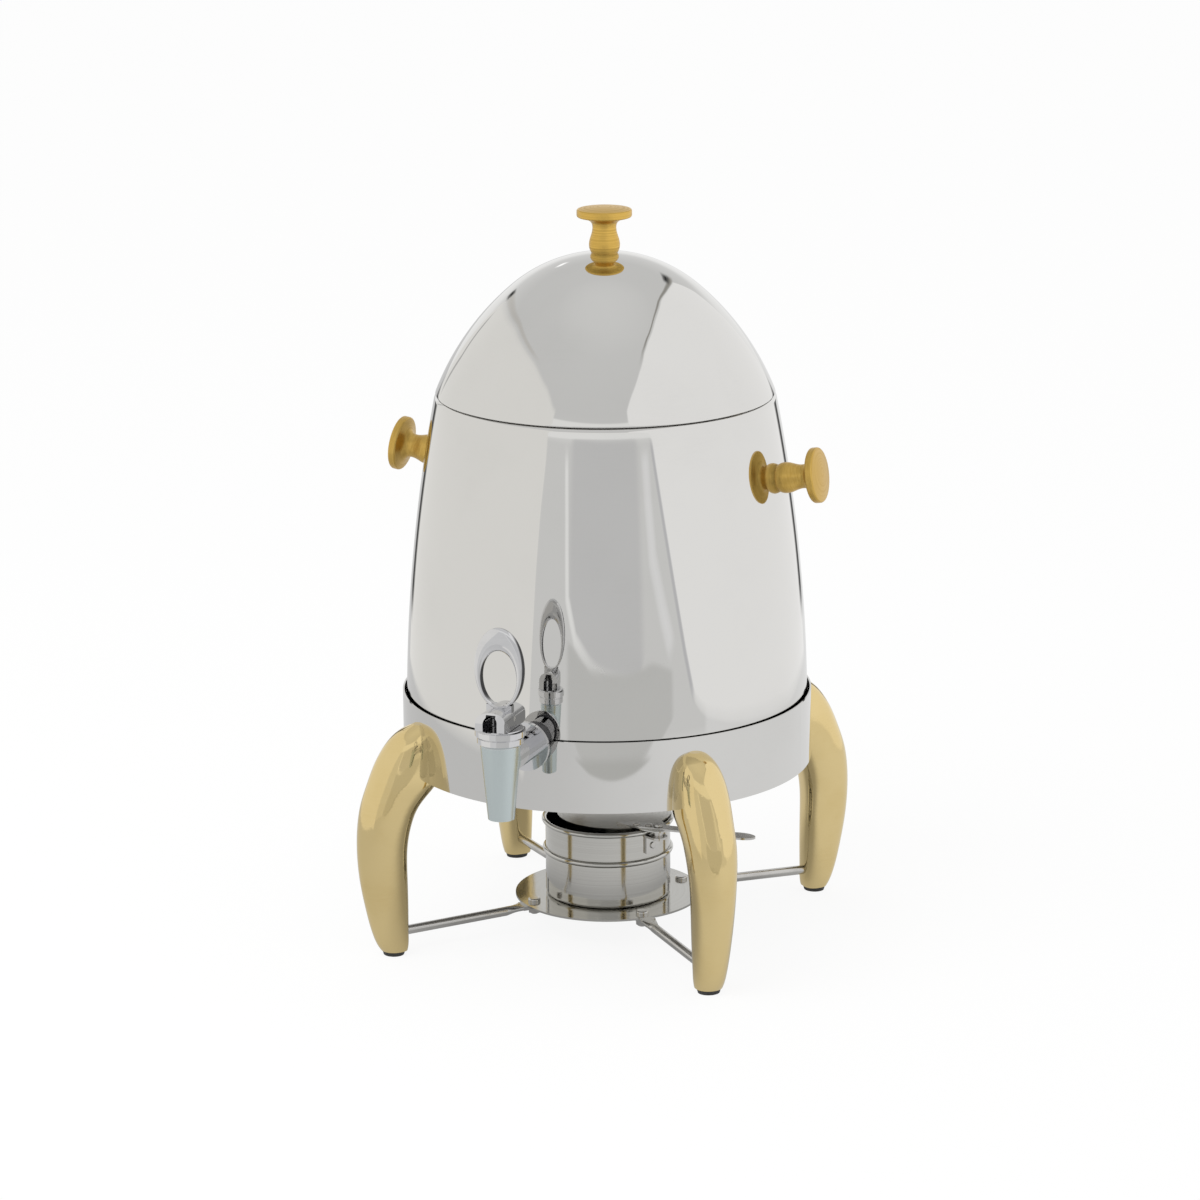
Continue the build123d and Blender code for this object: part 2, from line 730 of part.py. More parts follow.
def tap_outer_gasket():
    """Soft washer between the tap's sleeve and the urn, shaped to the wall."""
    shoulder = urn_foot_r + gasket_wall + sleeve_stand_off
    start = urn_foot_r - gasket_trim
    return on_shank(disc(gasket_r, start, shoulder - start, shank_r + fixed_fit)) - urn_core()


def shank_stack():
    """Reach of the flat side of the inner gasket, where the washer and the nut begin."""
    return urn_r(shank_height, urn_wall) - inner_gasket_wall


def tap_inner_gasket():
    start = shank_stack()
    gasket = on_shank(disc(inner_gasket_r, start, inner_gasket_wall * 2, shank_r + fixed_fit))
    return gasket & urn_core(urn_wall + fixed_fit)


def tap_washer():
    return on_shank(disc(shank_washer_r, shank_stack() - shank_washer_wall, shank_washer_wall,
                         shank_r + fixed_fit))


def tap_nut():
    start = shank_stack() - shank_washer_wall - shank_nut_height
    return on_shank(hexagon(shank_nut_flats, start, shank_nut_height, shank_r + fixed_fit))


def tap_bonnet():
    """Cap screwed into the top of the tap; the stem slides in it and the lever's cam bears on it."""
    plug_bottom = tap_top - bonnet_plug
    cap = turned_points((0, plug_bottom), (chamber_r - fixed_fit, plug_bottom),
                        (chamber_r - fixed_fit, tap_top), (bonnet_r, tap_top),
                        (bonnet_r, bonnet_top - bonnet_corner), (bonnet_r - bonnet_corner, bonnet_top),
                        (0, bonnet_top))
    return at_tap(cap - disc(stem_r + running_fit, plug_bottom - 1, bonnet_top))


def cup_top():
    return seat_height + seat_gap + seat_cup_height


def tap_seat_cup():
    """Soft valve cup on the end of the stem, closing on the tap's seat."""
    bottom = seat_height + seat_gap
    neck_r = stem_r + seat_cup_wall
    cup = turned_points((0, bottom), (seat_cup_r, bottom), (seat_cup_r, bottom + seat_cup_lip),
                        (neck_r, cup_top() - seat_cup_wall), (neck_r, cup_top()), (0, cup_top()))
    return at_tap(cup - disc(stem_r, bottom + seat_cup_lip, seat_cup_height))


def tap_stem():
    """Round stem with a flat head that the lever's pin passes through."""
    bottom = seat_height + seat_gap + seat_cup_lip
    head_bottom = bonnet_top + seat_gap
    head_top = pin_height + stem_head_rise
    stem = disc(stem_r, bottom, head_bottom - bottom)
    head = Pos(0, 0, (head_bottom + head_top) / 2)
    stem += head * Box(stem_head_width, stem_r * 2, head_top - head_bottom)
    stem -= Pos(0, 0, pin_height) * Rot(0, 90, 0) * Cylinder(pin_r + running_fit, stem_head_width * 2)
    return at_tap(stem)


def tap_spring():
    """Compression spring round the stem, between the cup and the bonnet."""
    bottom = cup_top() + spring_wire_r
    top = tap_top - bonnet_plug - spring_wire_r
    pitch = (top - bottom) / spring_coils
    path = Helix(pitch, top - bottom, spring_r - spring_wire_r)
    section = Plane(path @ 0, z_dir=path % 0) * Circle(spring_wire_r)
    return at_tap(Pos(0, 0, bottom) * sweep(section, path=path, is_frenet=True))


def toe_point(share):
    """Point on the saddle's toe, from its sole (0) to its tip (1), as (reach, rise) from the pin.

    The toe is an involute: rocking the lever forward lifts the pin by an equal step for each degree.
    """
    turn = math.radians(lever_travel * toe_spare) * share
    unwound = sole_drop + heel_reach * turn
    return (heel_reach * math.cos(turn) + unwound * math.sin(turn),
            heel_reach * math.sin(turn) - unwound * math.cos(turn))


def saddle_side():
    """Side view of the saddle about the pin, drawn as (towards the back, up)."""
    back = Spline(*[toe_point(step / 5) for step in range(6)])
    tip_y, tip_z = toe_point(1)
    outline = back + Polyline((tip_y, tip_z), (tip_y, 0), (heel_reach + saddle_spare, saddle_rise),
                              (-heel_reach - saddle_spare, saddle_rise), (-tip_y, 0), (-tip_y, tip_z))
    outline += mirror(back, Plane.YZ)
    return outline + Line((-heel_reach, -sole_drop), (heel_reach, -sole_drop))


def arch(half_width, spring, crown, bottom):
    """Front view of an arch about the pin: upright sides to the springing, then a half ellipse."""
    sides = Pos(0, (bottom + spring) / 2) * Rectangle(half_width * 2, spring - bottom)
    return sides + Pos(0, spring) * Ellipse(half_width, crown - spring)


def tap_lever():
    """Lever: a saddle with an arched way for the stem's head, a neck and an oval ring to pull."""
    length = heel_reach * 4
    saddle = extrude(Plane.YZ * make_face(saddle_side()), saddle_half_width, both=True)
    saddle &= extrude(Plane.XZ * arch(saddle_half_width, saddle_shoulder, saddle_rise, -sole_drop * 2),
                      length / 2, both=True)
    slot_spring = saddle_slot_rise - saddle_slot_r
    slot = arch(saddle_slot_r, slot_spring, saddle_slot_rise, -sole_drop * 2)
    ring = extrude(Plane.XZ * Ellipse(handle_half_width, handle_half_height), handle_thickness / 2, both=True)
    ring = fillet(ring.edges().filter_by(GeomType.ELLIPSE), handle_edge_r)
    hole = Plane.XZ * Pos(0, -handle_hole_drop) * Ellipse(handle_hole_half_width, handle_hole_half_height)
    ring -= extrude(hole, handle_thickness, both=True)
    neck = Pos(0, 0, handle_neck_rise / 2) * Box(handle_neck_half_width * 2, handle_thickness * 0.7,
                                                 handle_neck_rise)
    neck -= Pos(0, 0, handle_centre_rise) * extrude(hole, handle_thickness, both=True)
    lever = saddle + neck + Pos(0, 0, handle_centre_rise) * ring
    lever -= extrude(Plane.XZ * slot, length / 2, both=True)
    lever -= Rot(0, 90, 0) * Cylinder(pin_r + fixed_fit, saddle_half_width * 3)
    return at_tap(Pos(0, 0, pin_height) * lever)


def tap_lever_pin():
    length = saddle_half_width * 2 - fixed_fit * 2
    return at_tap(Pos(0, 0, pin_height) * Rot(0, 90, 0) * Cylinder(pin_r, length))


# Lid

def lid_form(inset):
    """The lid's outer form as a filled solid, with its face moved in by inset."""
    crown_r = lid_crown_r - inset
    crown_centre = lid_apex - lid_crown_r
    shoulder_r = lid_shoulder_r * crown_r / lid_crown_r
    shoulder = (shoulder_r, crown_centre + math.sqrt(crown_r ** 2 - shoulder_r ** 2))
    edge = (urn_r(lid_bottom) - inset, lid_bottom)
    half_r = shoulder_r / 2
    crown_mid = (half_r, crown_centre + math.sqrt(crown_r ** 2 - half_r ** 2))
    outline = RadiusArc(edge, shoulder, -(lid_side_arc_r - inset))
    outline += ThreePointArc(shoulder, crown_mid, (0, lid_apex - inset))
    outline += Polyline((0, lid_apex - inset), (0, lid_bottom), edge)
    return turned(outline)


def lid_dome():
    dome = lid_form(0) - lid_form(lid_wall)
    return dome - disc(screw_r + fixed_fit, lid_apex - screw_bite, screw_bite * 2)


def lid_band():
    """Band under the lid: a flat seat over the urn's rim and a ring that drops into the mouth."""
    ring_r = mouth_r - lid_band_play
    outer = urn_r(lid_bottom) - lid_wall * 2
    return turned_points((ring_r - rim_wall, lid_bottom - lid_band_drop), (ring_r, lid_bottom - lid_band_drop),
                         (ring_r, lid_bottom), (outer, lid_bottom), (outer - seat_gap, lid_bottom + rim_wall),
                         (ring_r - rim_wall, lid_bottom + rim_wall))


def lid_knob():
    return Pos(0, 0, lid_apex - knob_sink) * knob() - lid_form(0)


def lid_knob_screw():
    seat = lid_apex - lid_wall - washer_wall
    head = disc(screw_head_r, seat - screw_head_height, screw_head_height)
    head = fillet(head.edges().group_by(Axis.Z)[0], screw_head_height * 0.4)
    return head + disc(screw_r, seat, lid_apex + screw_bite - 1 - seat)


def lid_knob_washer():
    washer = disc(washer_r, lid_apex - lid_wall - washer_wall, washer_wall * 2, screw_r + fixed_fit)
    return washer & lid_form(lid_wall)


def around_legs(solid):
    """One copy of a piece for each leg."""
    return [Rot(0, 0, angle) * solid for angle in leg_angles.values()]


pieces = {
    "stand_ring": stand_ring(),
    "urn_ledge": urn_ledge(),
    "leg_screws": Compound(around_legs(leg_screw())),
    "leg_washers": Compound(around_legs(leg_washer())),
    "burner_plate": burner_plate(),
    "brace_screws": Compound(around_legs(brace_screw())),
    "brace_nuts": Compound(around_legs(brace_nut())),
    "burner_cup": burner_cup(),
    "cup_rivets": Compound([cup_rivet_place(number) * cup_rivet() for number in range(3)]),
    "damper_bracket": damper_bracket(),
    "bracket_rivet": bracket_rivet(),
    "damper_post": damper_post(),
    "damper_bush": damper_bush(),
    "damper_disc": damper_disc(),
    "damper_lever": damper_lever(),
    "lever_rivets": Compound([lever_rivet(along) for along in lever_rivet_places()]),
    "vessel_wall": vessel_wall(),
    "vessel_floor": vessel_floor(),
    "vessel_rim": vessel_rim(),
    "handle_right": handle(1),
    "handle_left": handle(-1),
    "handle_screws": Compound([handle_screw(side) for side in (1, -1)]),
    "handle_washers": Compound([handle_washer(side) for side in (1, -1)]),
    "tap_body": tap_body(),
    "tap_outer_gasket": tap_outer_gasket(),
    "tap_inner_gasket": tap_inner_gasket(),
    "tap_washer": tap_washer(),
    "tap_nut": tap_nut(),
    "tap_bonnet": tap_bonnet(),
    "tap_spring": tap_spring(),
    "tap_seat_cup": tap_seat_cup(),
    "tap_stem": tap_stem(),
    "tap_lever": tap_lever(),
    "tap_lever_pin": tap_lever_pin(),
    "lid_dome": lid_dome(),
    "lid_band": lid_band(),
    "lid_knob": lid_knob(),
    "lid_knob_screw": lid_knob_screw(),
    "lid_knob_washer": lid_knob_washer(),
}
for corner, angle in leg_angles.items():
    pieces["leg_" + corner] = Rot(0, 0, angle) * leg()
    pieces["foot_pad_" + corner] = Rot(0, 0, angle) * foot_pad()
    pieces["brace_rod_" + corner] = Rot(0, 0, angle) * brace_rod()

footprint_shift = (tap_reach + toe_point(1)[0] - band_r) / 2
for name, shape in pieces.items():
    export_step(Pos(0, footprint_shift, 0) * shape, "parts/" + name + ".step")
print(len(pieces), "pieces; the urn's axis is", round(footprint_shift, 3), "mm behind the centre of the footprint")
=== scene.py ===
# %% [markdown]
# # A coffee urn in polished steel and gold
#
# The urn is a mirror-bright beehive of stainless steel in a banded stand on four gilt legs. A mirror has
# no look of its own: what the eye reads as steel is the studio around it. So this lesson spends most of
# its care on two things, smooth turned surfaces and a studio of plain cards for them to reflect.
#
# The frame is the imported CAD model. Everything here is in metres, in the frame's own axes.

# %% Load the frame
import bpy
import bmesh
import json
import math
from mathutils import Matrix, Vector

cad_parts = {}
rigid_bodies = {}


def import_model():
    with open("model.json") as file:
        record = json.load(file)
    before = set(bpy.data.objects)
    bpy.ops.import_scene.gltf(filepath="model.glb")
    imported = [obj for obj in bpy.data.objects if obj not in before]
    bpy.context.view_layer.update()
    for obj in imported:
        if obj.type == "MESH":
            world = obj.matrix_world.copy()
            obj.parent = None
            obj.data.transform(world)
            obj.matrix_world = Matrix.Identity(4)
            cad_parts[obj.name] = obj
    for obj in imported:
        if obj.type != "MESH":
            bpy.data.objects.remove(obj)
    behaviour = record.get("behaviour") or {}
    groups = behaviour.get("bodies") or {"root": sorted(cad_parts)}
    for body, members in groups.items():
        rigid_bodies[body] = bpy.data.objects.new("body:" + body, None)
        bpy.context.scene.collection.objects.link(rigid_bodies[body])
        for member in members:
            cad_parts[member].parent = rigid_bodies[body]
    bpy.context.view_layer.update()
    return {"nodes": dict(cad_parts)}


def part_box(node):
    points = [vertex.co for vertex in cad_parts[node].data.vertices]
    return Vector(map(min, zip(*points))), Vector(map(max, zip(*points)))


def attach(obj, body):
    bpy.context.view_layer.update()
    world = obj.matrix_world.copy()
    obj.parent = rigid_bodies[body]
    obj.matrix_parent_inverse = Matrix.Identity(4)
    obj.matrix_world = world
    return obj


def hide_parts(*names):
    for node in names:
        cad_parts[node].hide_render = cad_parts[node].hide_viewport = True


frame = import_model()
nodes = frame["nodes"]

# %% [markdown]
# ## Where things are
#
# The pieces are turned about the urn's upright axis, or about the tap's. Both are read from the CAD
# boxes, so that a change of size in the part moves what is built here along with it.

# %% The two upright axes
wall_low, wall_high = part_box("vessel_wall")
bonnet_low, bonnet_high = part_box("tap_bonnet")
urn_axis = Vector(((wall_low.x + wall_high.x) / 2, (wall_low.y + wall_high.y) / 2, 0))
tap_axis = Vector(((bonnet_low.x + bonnet_high.x) / 2, (bonnet_low.y + bonnet_high.y) / 2, 0))
print("urn axis y:", round(urn_axis.y, 5), "tap axis y:", round(tap_axis.y, 5))

# %% [markdown]
# ## The camera
#
# The view is from a little above and from the right of the tap, with a long lens, as a product is
# photographed so that its upright lines stay upright. The distance and the angles come from fitting the
# round rims of the urn, which show as ellipses, and the slight roll is the photographer's.

# %% Camera
VIEW_AZIMUTH = math.radians(20.71)
VIEW_ELEVATION = math.radians(14.82)
VIEW_ROLL = math.radians(-0.36)
VIEW_DISTANCE = 3.201
LENS = 129.14

toward_camera = Vector((math.sin(VIEW_AZIMUTH), -math.cos(VIEW_AZIMUTH), 0))
camera_right = Vector((math.cos(VIEW_AZIMUTH), math.sin(VIEW_AZIMUTH), 0))
back = toward_camera * math.cos(VIEW_ELEVATION) + Vector((0, 0, math.sin(VIEW_ELEVATION)))
camera_up = back.cross(camera_right)
aim = urn_axis + camera_right * -0.0049 + Vector((0, 0, 0.2512))
place = aim + back * VIEW_DISTANCE
rolled_right = camera_right * math.cos(VIEW_ROLL) + camera_up * math.sin(VIEW_ROLL)
rolled_up = camera_up * math.cos(VIEW_ROLL) - camera_right * math.sin(VIEW_ROLL)

camera_data = bpy.data.cameras.new("camera")
camera_data.lens = LENS
camera_data.sensor_width = 36
camera = bpy.data.objects.new("camera", camera_data)
bpy.context.scene.collection.objects.link(camera)
turn = Matrix((rolled_right, rolled_up, back)).transposed().to_4x4()
camera.matrix_world = Matrix.Translation(place) @ turn
bpy.context.scene.camera = camera
bpy.context.scene.view_settings.view_transform = "Standard"
print("camera at", [round(v, 3) for v in place])

# %% [markdown]
# ## Small helpers for shader nodes
#
# Every finish below is a Principled BSDF with procedural texture behind it. These helpers keep each
# finish short enough to read: one adds a node, one joins two sockets, one starts a material.

# %% Node helpers
def add_node(tree, kind, **settings):
    node = tree.nodes.new(kind)
    for key, value in settings.items():
        if key in node.inputs:
            node.inputs[key].default_value = value
        else:
            setattr(node, key, value)
    return node


def join(tree, start, end):
    tree.links.new(start, end)


def new_group(name, inputs, outputs):
    """An empty shader group with named sockets, each given as (name, socket type, default)."""
    group = bpy.data.node_groups.new(name, "ShaderNodeTree")
    for label, kind, default in inputs:
        socket = group.interface.new_socket(label, in_out="INPUT", socket_type=kind)
        socket.default_value = default
    for label, kind in outputs:
        group.interface.new_socket(label, in_out="OUTPUT", socket_type=kind)
    return group, group.nodes.new("NodeGroupInput"), group.nodes.new("NodeGroupOutput")


def new_finish(name, **constants):
    """A material with one Principled BSDF, its plain numbers set on its own sockets."""
    material = bpy.data.materials.new(name)
    material.use_nodes = True
    shader = material.node_tree.nodes["Principled BSDF"]
    for key, value in constants.items():
        shader.inputs[key.replace("_", " ")].default_value = value
    return material, material.node_tree, shader


def use_group(tree, group, **values):
    node = tree.nodes.new("ShaderNodeGroup")
    node.node_tree = group
    for key, value in values.items():
        node.inputs[key.replace("_", " ")].default_value = value
    return node


def soft_step(tree, start, end, low=0.0, high=1.0):
    """A node that goes smoothly from low, where its value is start, to high, where it is end."""
    node = add_node(tree, "ShaderNodeMapRange", interpolation_type="SMOOTHSTEP")
    for key, value in (("From Min", start), ("From Max", end), ("To Min", low), ("To Max", high)):
        node.inputs[key].default_value = value
    return node


print("helpers: add_node, join, new_group, new_finish, use_group, soft_step")

# %% [markdown]
# ## Shared effect: handling haze
#
# Polished steel is never evenly clean. Wiping leaves faint clouds, a few centimetres across, where the
# mirror is a touch duller, and fine wiping lines inside them. The group gives a value for the roughness
# and one to tint the colour by; soft noise makes the clouds and stretched noise makes the lines.

# %% Group: wiped haze
def build_wiped_haze():
    group, source, sink = new_group(
        "wiped_haze",
        [("Clear Roughness", "NodeSocketFloat", 0.03), ("Hazy Roughness", "NodeSocketFloat", 0.08),
         ("Cloud Scale", "NodeSocketFloat", 18.0), ("Colour", "NodeSocketColor", (0.7, 0.7, 0.68, 1)),
         ("Hazy Colour", "NodeSocketColor", (0.66, 0.66, 0.64, 1))],
        [("Roughness", "NodeSocketFloat"), ("Colour", "NodeSocketColor")])
    place_in_room = add_node(group, "ShaderNodeTexCoord")
    clouds = add_node(group, "ShaderNodeTexNoise", Detail=3.0, Roughness=0.55)
    lines_place = add_node(group, "ShaderNodeMapping")
    lines_place.inputs["Scale"].default_value = (60, 60, 1400)
    lines = add_node(group, "ShaderNodeTexNoise", Scale=1.0, Detail=2.0)
    mask = soft_step(group, 0.42, 0.72)
    lined = add_node(group, "ShaderNodeMath", operation="MULTIPLY")
    rough = add_node(group, "ShaderNodeMix", data_type="FLOAT")
    tint = add_node(group, "ShaderNodeMix", data_type="RGBA")
    join(group, place_in_room.outputs["Object"], clouds.inputs["Vector"])
    join(group, source.outputs["Cloud Scale"], clouds.inputs["Scale"])
    join(group, place_in_room.outputs["Object"], lines_place.inputs["Vector"])
    join(group, lines_place.outputs["Vector"], lines.inputs["Vector"])
    join(group, clouds.outputs["Fac"], mask.inputs["Value"])
    join(group, mask.outputs["Result"], lined.inputs[0])
    join(group, lines.outputs["Fac"], lined.inputs[1])
    join(group, lined.outputs[0], rough.inputs[0])
    join(group, source.outputs["Clear Roughness"], rough.inputs[2])
    join(group, source.outputs["Hazy Roughness"], rough.inputs[3])
    join(group, lined.outputs[0], tint.inputs[0])
    join(group, source.outputs["Colour"], tint.inputs[6])
    join(group, source.outputs["Hazy Colour"], tint.inputs[7])
    join(group, rough.outputs[0], sink.inputs["Roughness"])
    join(group, tint.outputs[2], sink.inputs["Colour"])
    return group


wiped_haze = build_wiped_haze()
print("group", wiped_haze.name, "gives a roughness and a colour")

# %% [markdown]
# ## Shared effect: the lathe's grain
#
# The knobs, the cup and the washers are turned or spun, and their fine tool lines run round the axis.
# A line is the same all the way round, so the noise reads only two numbers: how far along the axis a
# point is, and how far out from it. The group gives that noise as a height and as a mask.

# %% Group: turned grain
def build_turned_grain():
    group, source, sink = new_group(
        "turned_grain",
        [("Centre", "NodeSocketVector", (0, 0, 0)), ("Axis", "NodeSocketVector", (0, 0, 1)),
         ("Lines", "NodeSocketFloat", 1500.0)],
        [("Height", "NodeSocketFloat"), ("Mask", "NodeSocketFloat")])
    place_in_room = add_node(group, "ShaderNodeTexCoord")
    offset = add_node(group, "ShaderNodeVectorMath", operation="SUBTRACT")
    along = add_node(group, "ShaderNodeVectorMath", operation="DOT_PRODUCT")
    along_axis = add_node(group, "ShaderNodeVectorMath", operation="SCALE")
    across = add_node(group, "ShaderNodeVectorMath", operation="SUBTRACT")
    radius = add_node(group, "ShaderNodeVectorMath", operation="LENGTH")
    pair = add_node(group, "ShaderNodeCombineXYZ")
    lines = add_node(group, "ShaderNodeTexNoise", Detail=4.0, Roughness=0.7)
    mask = add_node(group, "ShaderNodeMapRange")
    mask.inputs["From Min"].default_value = 0.3
    mask.inputs["From Max"].default_value = 0.7
    join(group, place_in_room.outputs["Object"], offset.inputs[0])
    join(group, source.outputs["Centre"], offset.inputs[1])
    join(group, offset.outputs[0], along.inputs[0])
    join(group, source.outputs["Axis"], along.inputs[1])
    join(group, source.outputs["Axis"], along_axis.inputs[0])
    join(group, along.outputs["Value"], along_axis.inputs["Scale"])
    join(group, offset.outputs[0], across.inputs[0])
    join(group, along_axis.outputs[0], across.inputs[1])
    join(group, across.outputs[0], radius.inputs[0])
    join(group, along.outputs["Value"], pair.inputs["X"])
    join(group, radius.outputs["Value"], pair.inputs["Y"])
    join(group, pair.outputs[0], lines.inputs["Vector"])
    join(group, source.outputs["Lines"], lines.inputs["Scale"])
    join(group, lines.outputs["Fac"], mask.inputs["Value"])
    join(group, lines.outputs["Fac"], sink.inputs["Height"])
    join(group, mask.outputs["Result"], sink.inputs["Mask"])
    return group


turned_grain = build_turned_grain()
print("group", turned_grain.name, "gives a height and a mask")

# %% [markdown]
# ## Shared effect: the caster's ripple
#
# A leg is a casting that was polished by hand before it was plated, so its surface wanders by
# hundredths of a millimetre. Reflections in it swim and pinch. Two sizes of soft noise give that
# wander, and a finer one the slight orange-peel of the plate.

# %% Group: hand polish
def build_hand_polish():
    group, source, sink = new_group(
        "hand_polish",
        [("Wander Scale", "NodeSocketFloat", 22.0), ("Peel Scale", "NodeSocketFloat", 420.0),
         ("Peel Share", "NodeSocketFloat", 0.05)],
        [("Height", "NodeSocketFloat"), ("Mask", "NodeSocketFloat")])
    place_in_room = add_node(group, "ShaderNodeTexCoord")
    wander = add_node(group, "ShaderNodeTexNoise", Detail=1.5, Roughness=0.4)
    peel = add_node(group, "ShaderNodeTexNoise", Detail=2.0)
    share = add_node(group, "ShaderNodeMath", operation="MULTIPLY")
    total = add_node(group, "ShaderNodeMath", operation="ADD")
    for texture, scale in ((wander, "Wander Scale"), (peel, "Peel Scale")):
        join(group, place_in_room.outputs["Object"], texture.inputs["Vector"])
        join(group, source.outputs[scale], texture.inputs["Scale"])
    join(group, peel.outputs["Fac"], share.inputs[0])
    join(group, source.outputs["Peel Share"], share.inputs[1])
    join(group, wander.outputs["Fac"], total.inputs[0])
    join(group, share.outputs[0], total.inputs[1])
    join(group, total.outputs[0], sink.inputs["Height"])
    join(group, wander.outputs["Fac"], sink.inputs["Mask"])
    return group


hand_polish = build_hand_polish()
print("group", hand_polish.name, "gives a height and a mask")

# %% [markdown]
# ## The finishes
#
# Mirror steel for what is seen from across the room, spun steel for the burner and what is inside,
# pale gold plate on the legs, deeper satin gold on the knobs, bright and satin chrome on the tap,
# and black rubber where metal would scratch or leak. The mirror comes first. It could be one number for
# roughness, but then it would look like glass, so the haze above varies it a little.

# %% Mirror steel
def mirror_steel(name, colour, haze_colour, clear, hazy, clouds):
    material, tree, shader = new_finish(name, Metallic=1.0)
    haze = use_group(tree, wiped_haze, Clear_Roughness=clear, Hazy_Roughness=hazy, Cloud_Scale=clouds,
                     Colour=colour, Hazy_Colour=haze_colour)
    join(tree, haze.outputs["Roughness"], shader.inputs["Roughness"])
    join(tree, haze.outputs["Colour"], shader.inputs["Base Color"])
    return material


polished_steel = mirror_steel("polished_steel", (0.70, 0.695, 0.68, 1), (0.67, 0.665, 0.65, 1),
                              0.025, 0.06, 14.0)
print("finish", polished_steel.name)

# %% [markdown]
# ## Spun steel
#
# The cup and the burner plate were spun and left as they came off the lathe, and the urn's inside was
# never meant to be seen. Their lines could be an image wrapped round, but a noise that reads only the
# place along the axis and the distance from it needs no wrapping and has no joint.

# %% Spun steel, with its lines round the urn's axis
def spun_steel(name, centre, axis, colour, dark, lines, rough_low, rough_high, depth):
    material, tree, shader = new_finish(name, Metallic=1.0)
    grain = use_group(tree, turned_grain, Centre=centre, Axis=axis, Lines=lines)
    tint = add_node(tree, "ShaderNodeMix", data_type="RGBA")
    tint.inputs[6].default_value = colour
    tint.inputs[7].default_value = dark
    rough = add_node(tree, "ShaderNodeMapRange")
    rough.inputs["To Min"].default_value = rough_low
    rough.inputs["To Max"].default_value = rough_high
    bump = add_node(tree, "ShaderNodeBump", Strength=0.35, Distance=depth)
    join(tree, grain.outputs["Mask"], tint.inputs[0])
    join(tree, tint.outputs[2], shader.inputs["Base Color"])
    join(tree, grain.outputs["Mask"], rough.inputs["Value"])
    join(tree, rough.outputs["Result"], shader.inputs["Roughness"])
    join(tree, grain.outputs["Height"], bump.inputs["Height"])
    join(tree, bump.outputs["Normal"], shader.inputs["Normal"])
    return material


UP = (0, 0, 1)
cup_steel = spun_steel("cup_steel", urn_axis, UP, (0.585, 0.58, 0.55, 1), (0.50, 0.49, 0.465, 1),
                       700.0, 0.07, 0.16, 0.00002)
inner_steel = spun_steel("inner_steel", urn_axis, UP, (0.62, 0.61, 0.59, 1), (0.5, 0.49, 0.47, 1),
                         1100.0, 0.22, 0.42, 0.00004)
print("finishes", cup_steel.name, inner_steel.name)

# %% [markdown]
# ## Rods, screws and the tap's stem
#
# Rods and screws are bright bar and wire, a little wiped and a little rippled. The stem inside the tap is
# the same metal painted near black, as painted shade, so that the tap's slot looks black.

# %% Rod steel, and steel painted near black as shade for the tap's stem
def bright_metal(name, colour, haze_colour, clear, hazy, clouds, ripple):
    material, tree, shader = new_finish(name, Metallic=1.0)
    haze = use_group(tree, wiped_haze, Clear_Roughness=clear, Hazy_Roughness=hazy, Cloud_Scale=clouds,
                     Colour=colour, Hazy_Colour=haze_colour)
    polish = use_group(tree, hand_polish, Wander_Scale=90.0, Peel_Scale=900.0, Peel_Share=0.08)
    bump = add_node(tree, "ShaderNodeBump", Strength=0.4, Distance=ripple)
    join(tree, haze.outputs["Roughness"], shader.inputs["Roughness"])
    join(tree, haze.outputs["Colour"], shader.inputs["Base Color"])
    join(tree, polish.outputs["Height"], bump.inputs["Height"])
    join(tree, bump.outputs["Normal"], shader.inputs["Normal"])
    return material


rod_steel = bright_metal("rod_steel", (0.56, 0.55, 0.53, 1), (0.45, 0.44, 0.42, 1),
                         0.16, 0.34, 60.0, 0.00004)
dark_steel = bright_metal("dark_steel", (0.05, 0.05, 0.055, 1), (0.08, 0.08, 0.08, 1),
                          0.20, 0.35, 60.0, 0.00004)
print("finishes", rod_steel.name, dark_steel.name)

# %% [markdown]
# ## Shared effect: chrome with painted dark lines and painted slot shade
#
# Small chromed castings show thin black lines, because their flanks mirror dark things close by: a hand,
# a table's edge, the dark side of the room. The cards of this studio stand too far off to give lines so
# thin, so these reflections are painted into the plate's colour as painted reflections. A surface that
# faces the tap's right is painted dark, and the slot under the lever is painted dark as painted shade, told
# by how near a point is to the tap's middle and how low. Both masks read the object alone, so the painted
# lines stay in their place from every side.

# %% Group: chrome with painted reflection lines and painted slot shade
CHROME = (0.69, 0.69, 0.70, 1)
CHROME_HAZE = (0.62, 0.625, 0.64, 1)
PAINTED_DARK = (0.012, 0.012, 0.014, 1)
TAP_RIGHT = (1, 0, 0)
FLANK_FACING = (0.58, 0.90)
SLOT_PAINTED_SHADE = 0.95


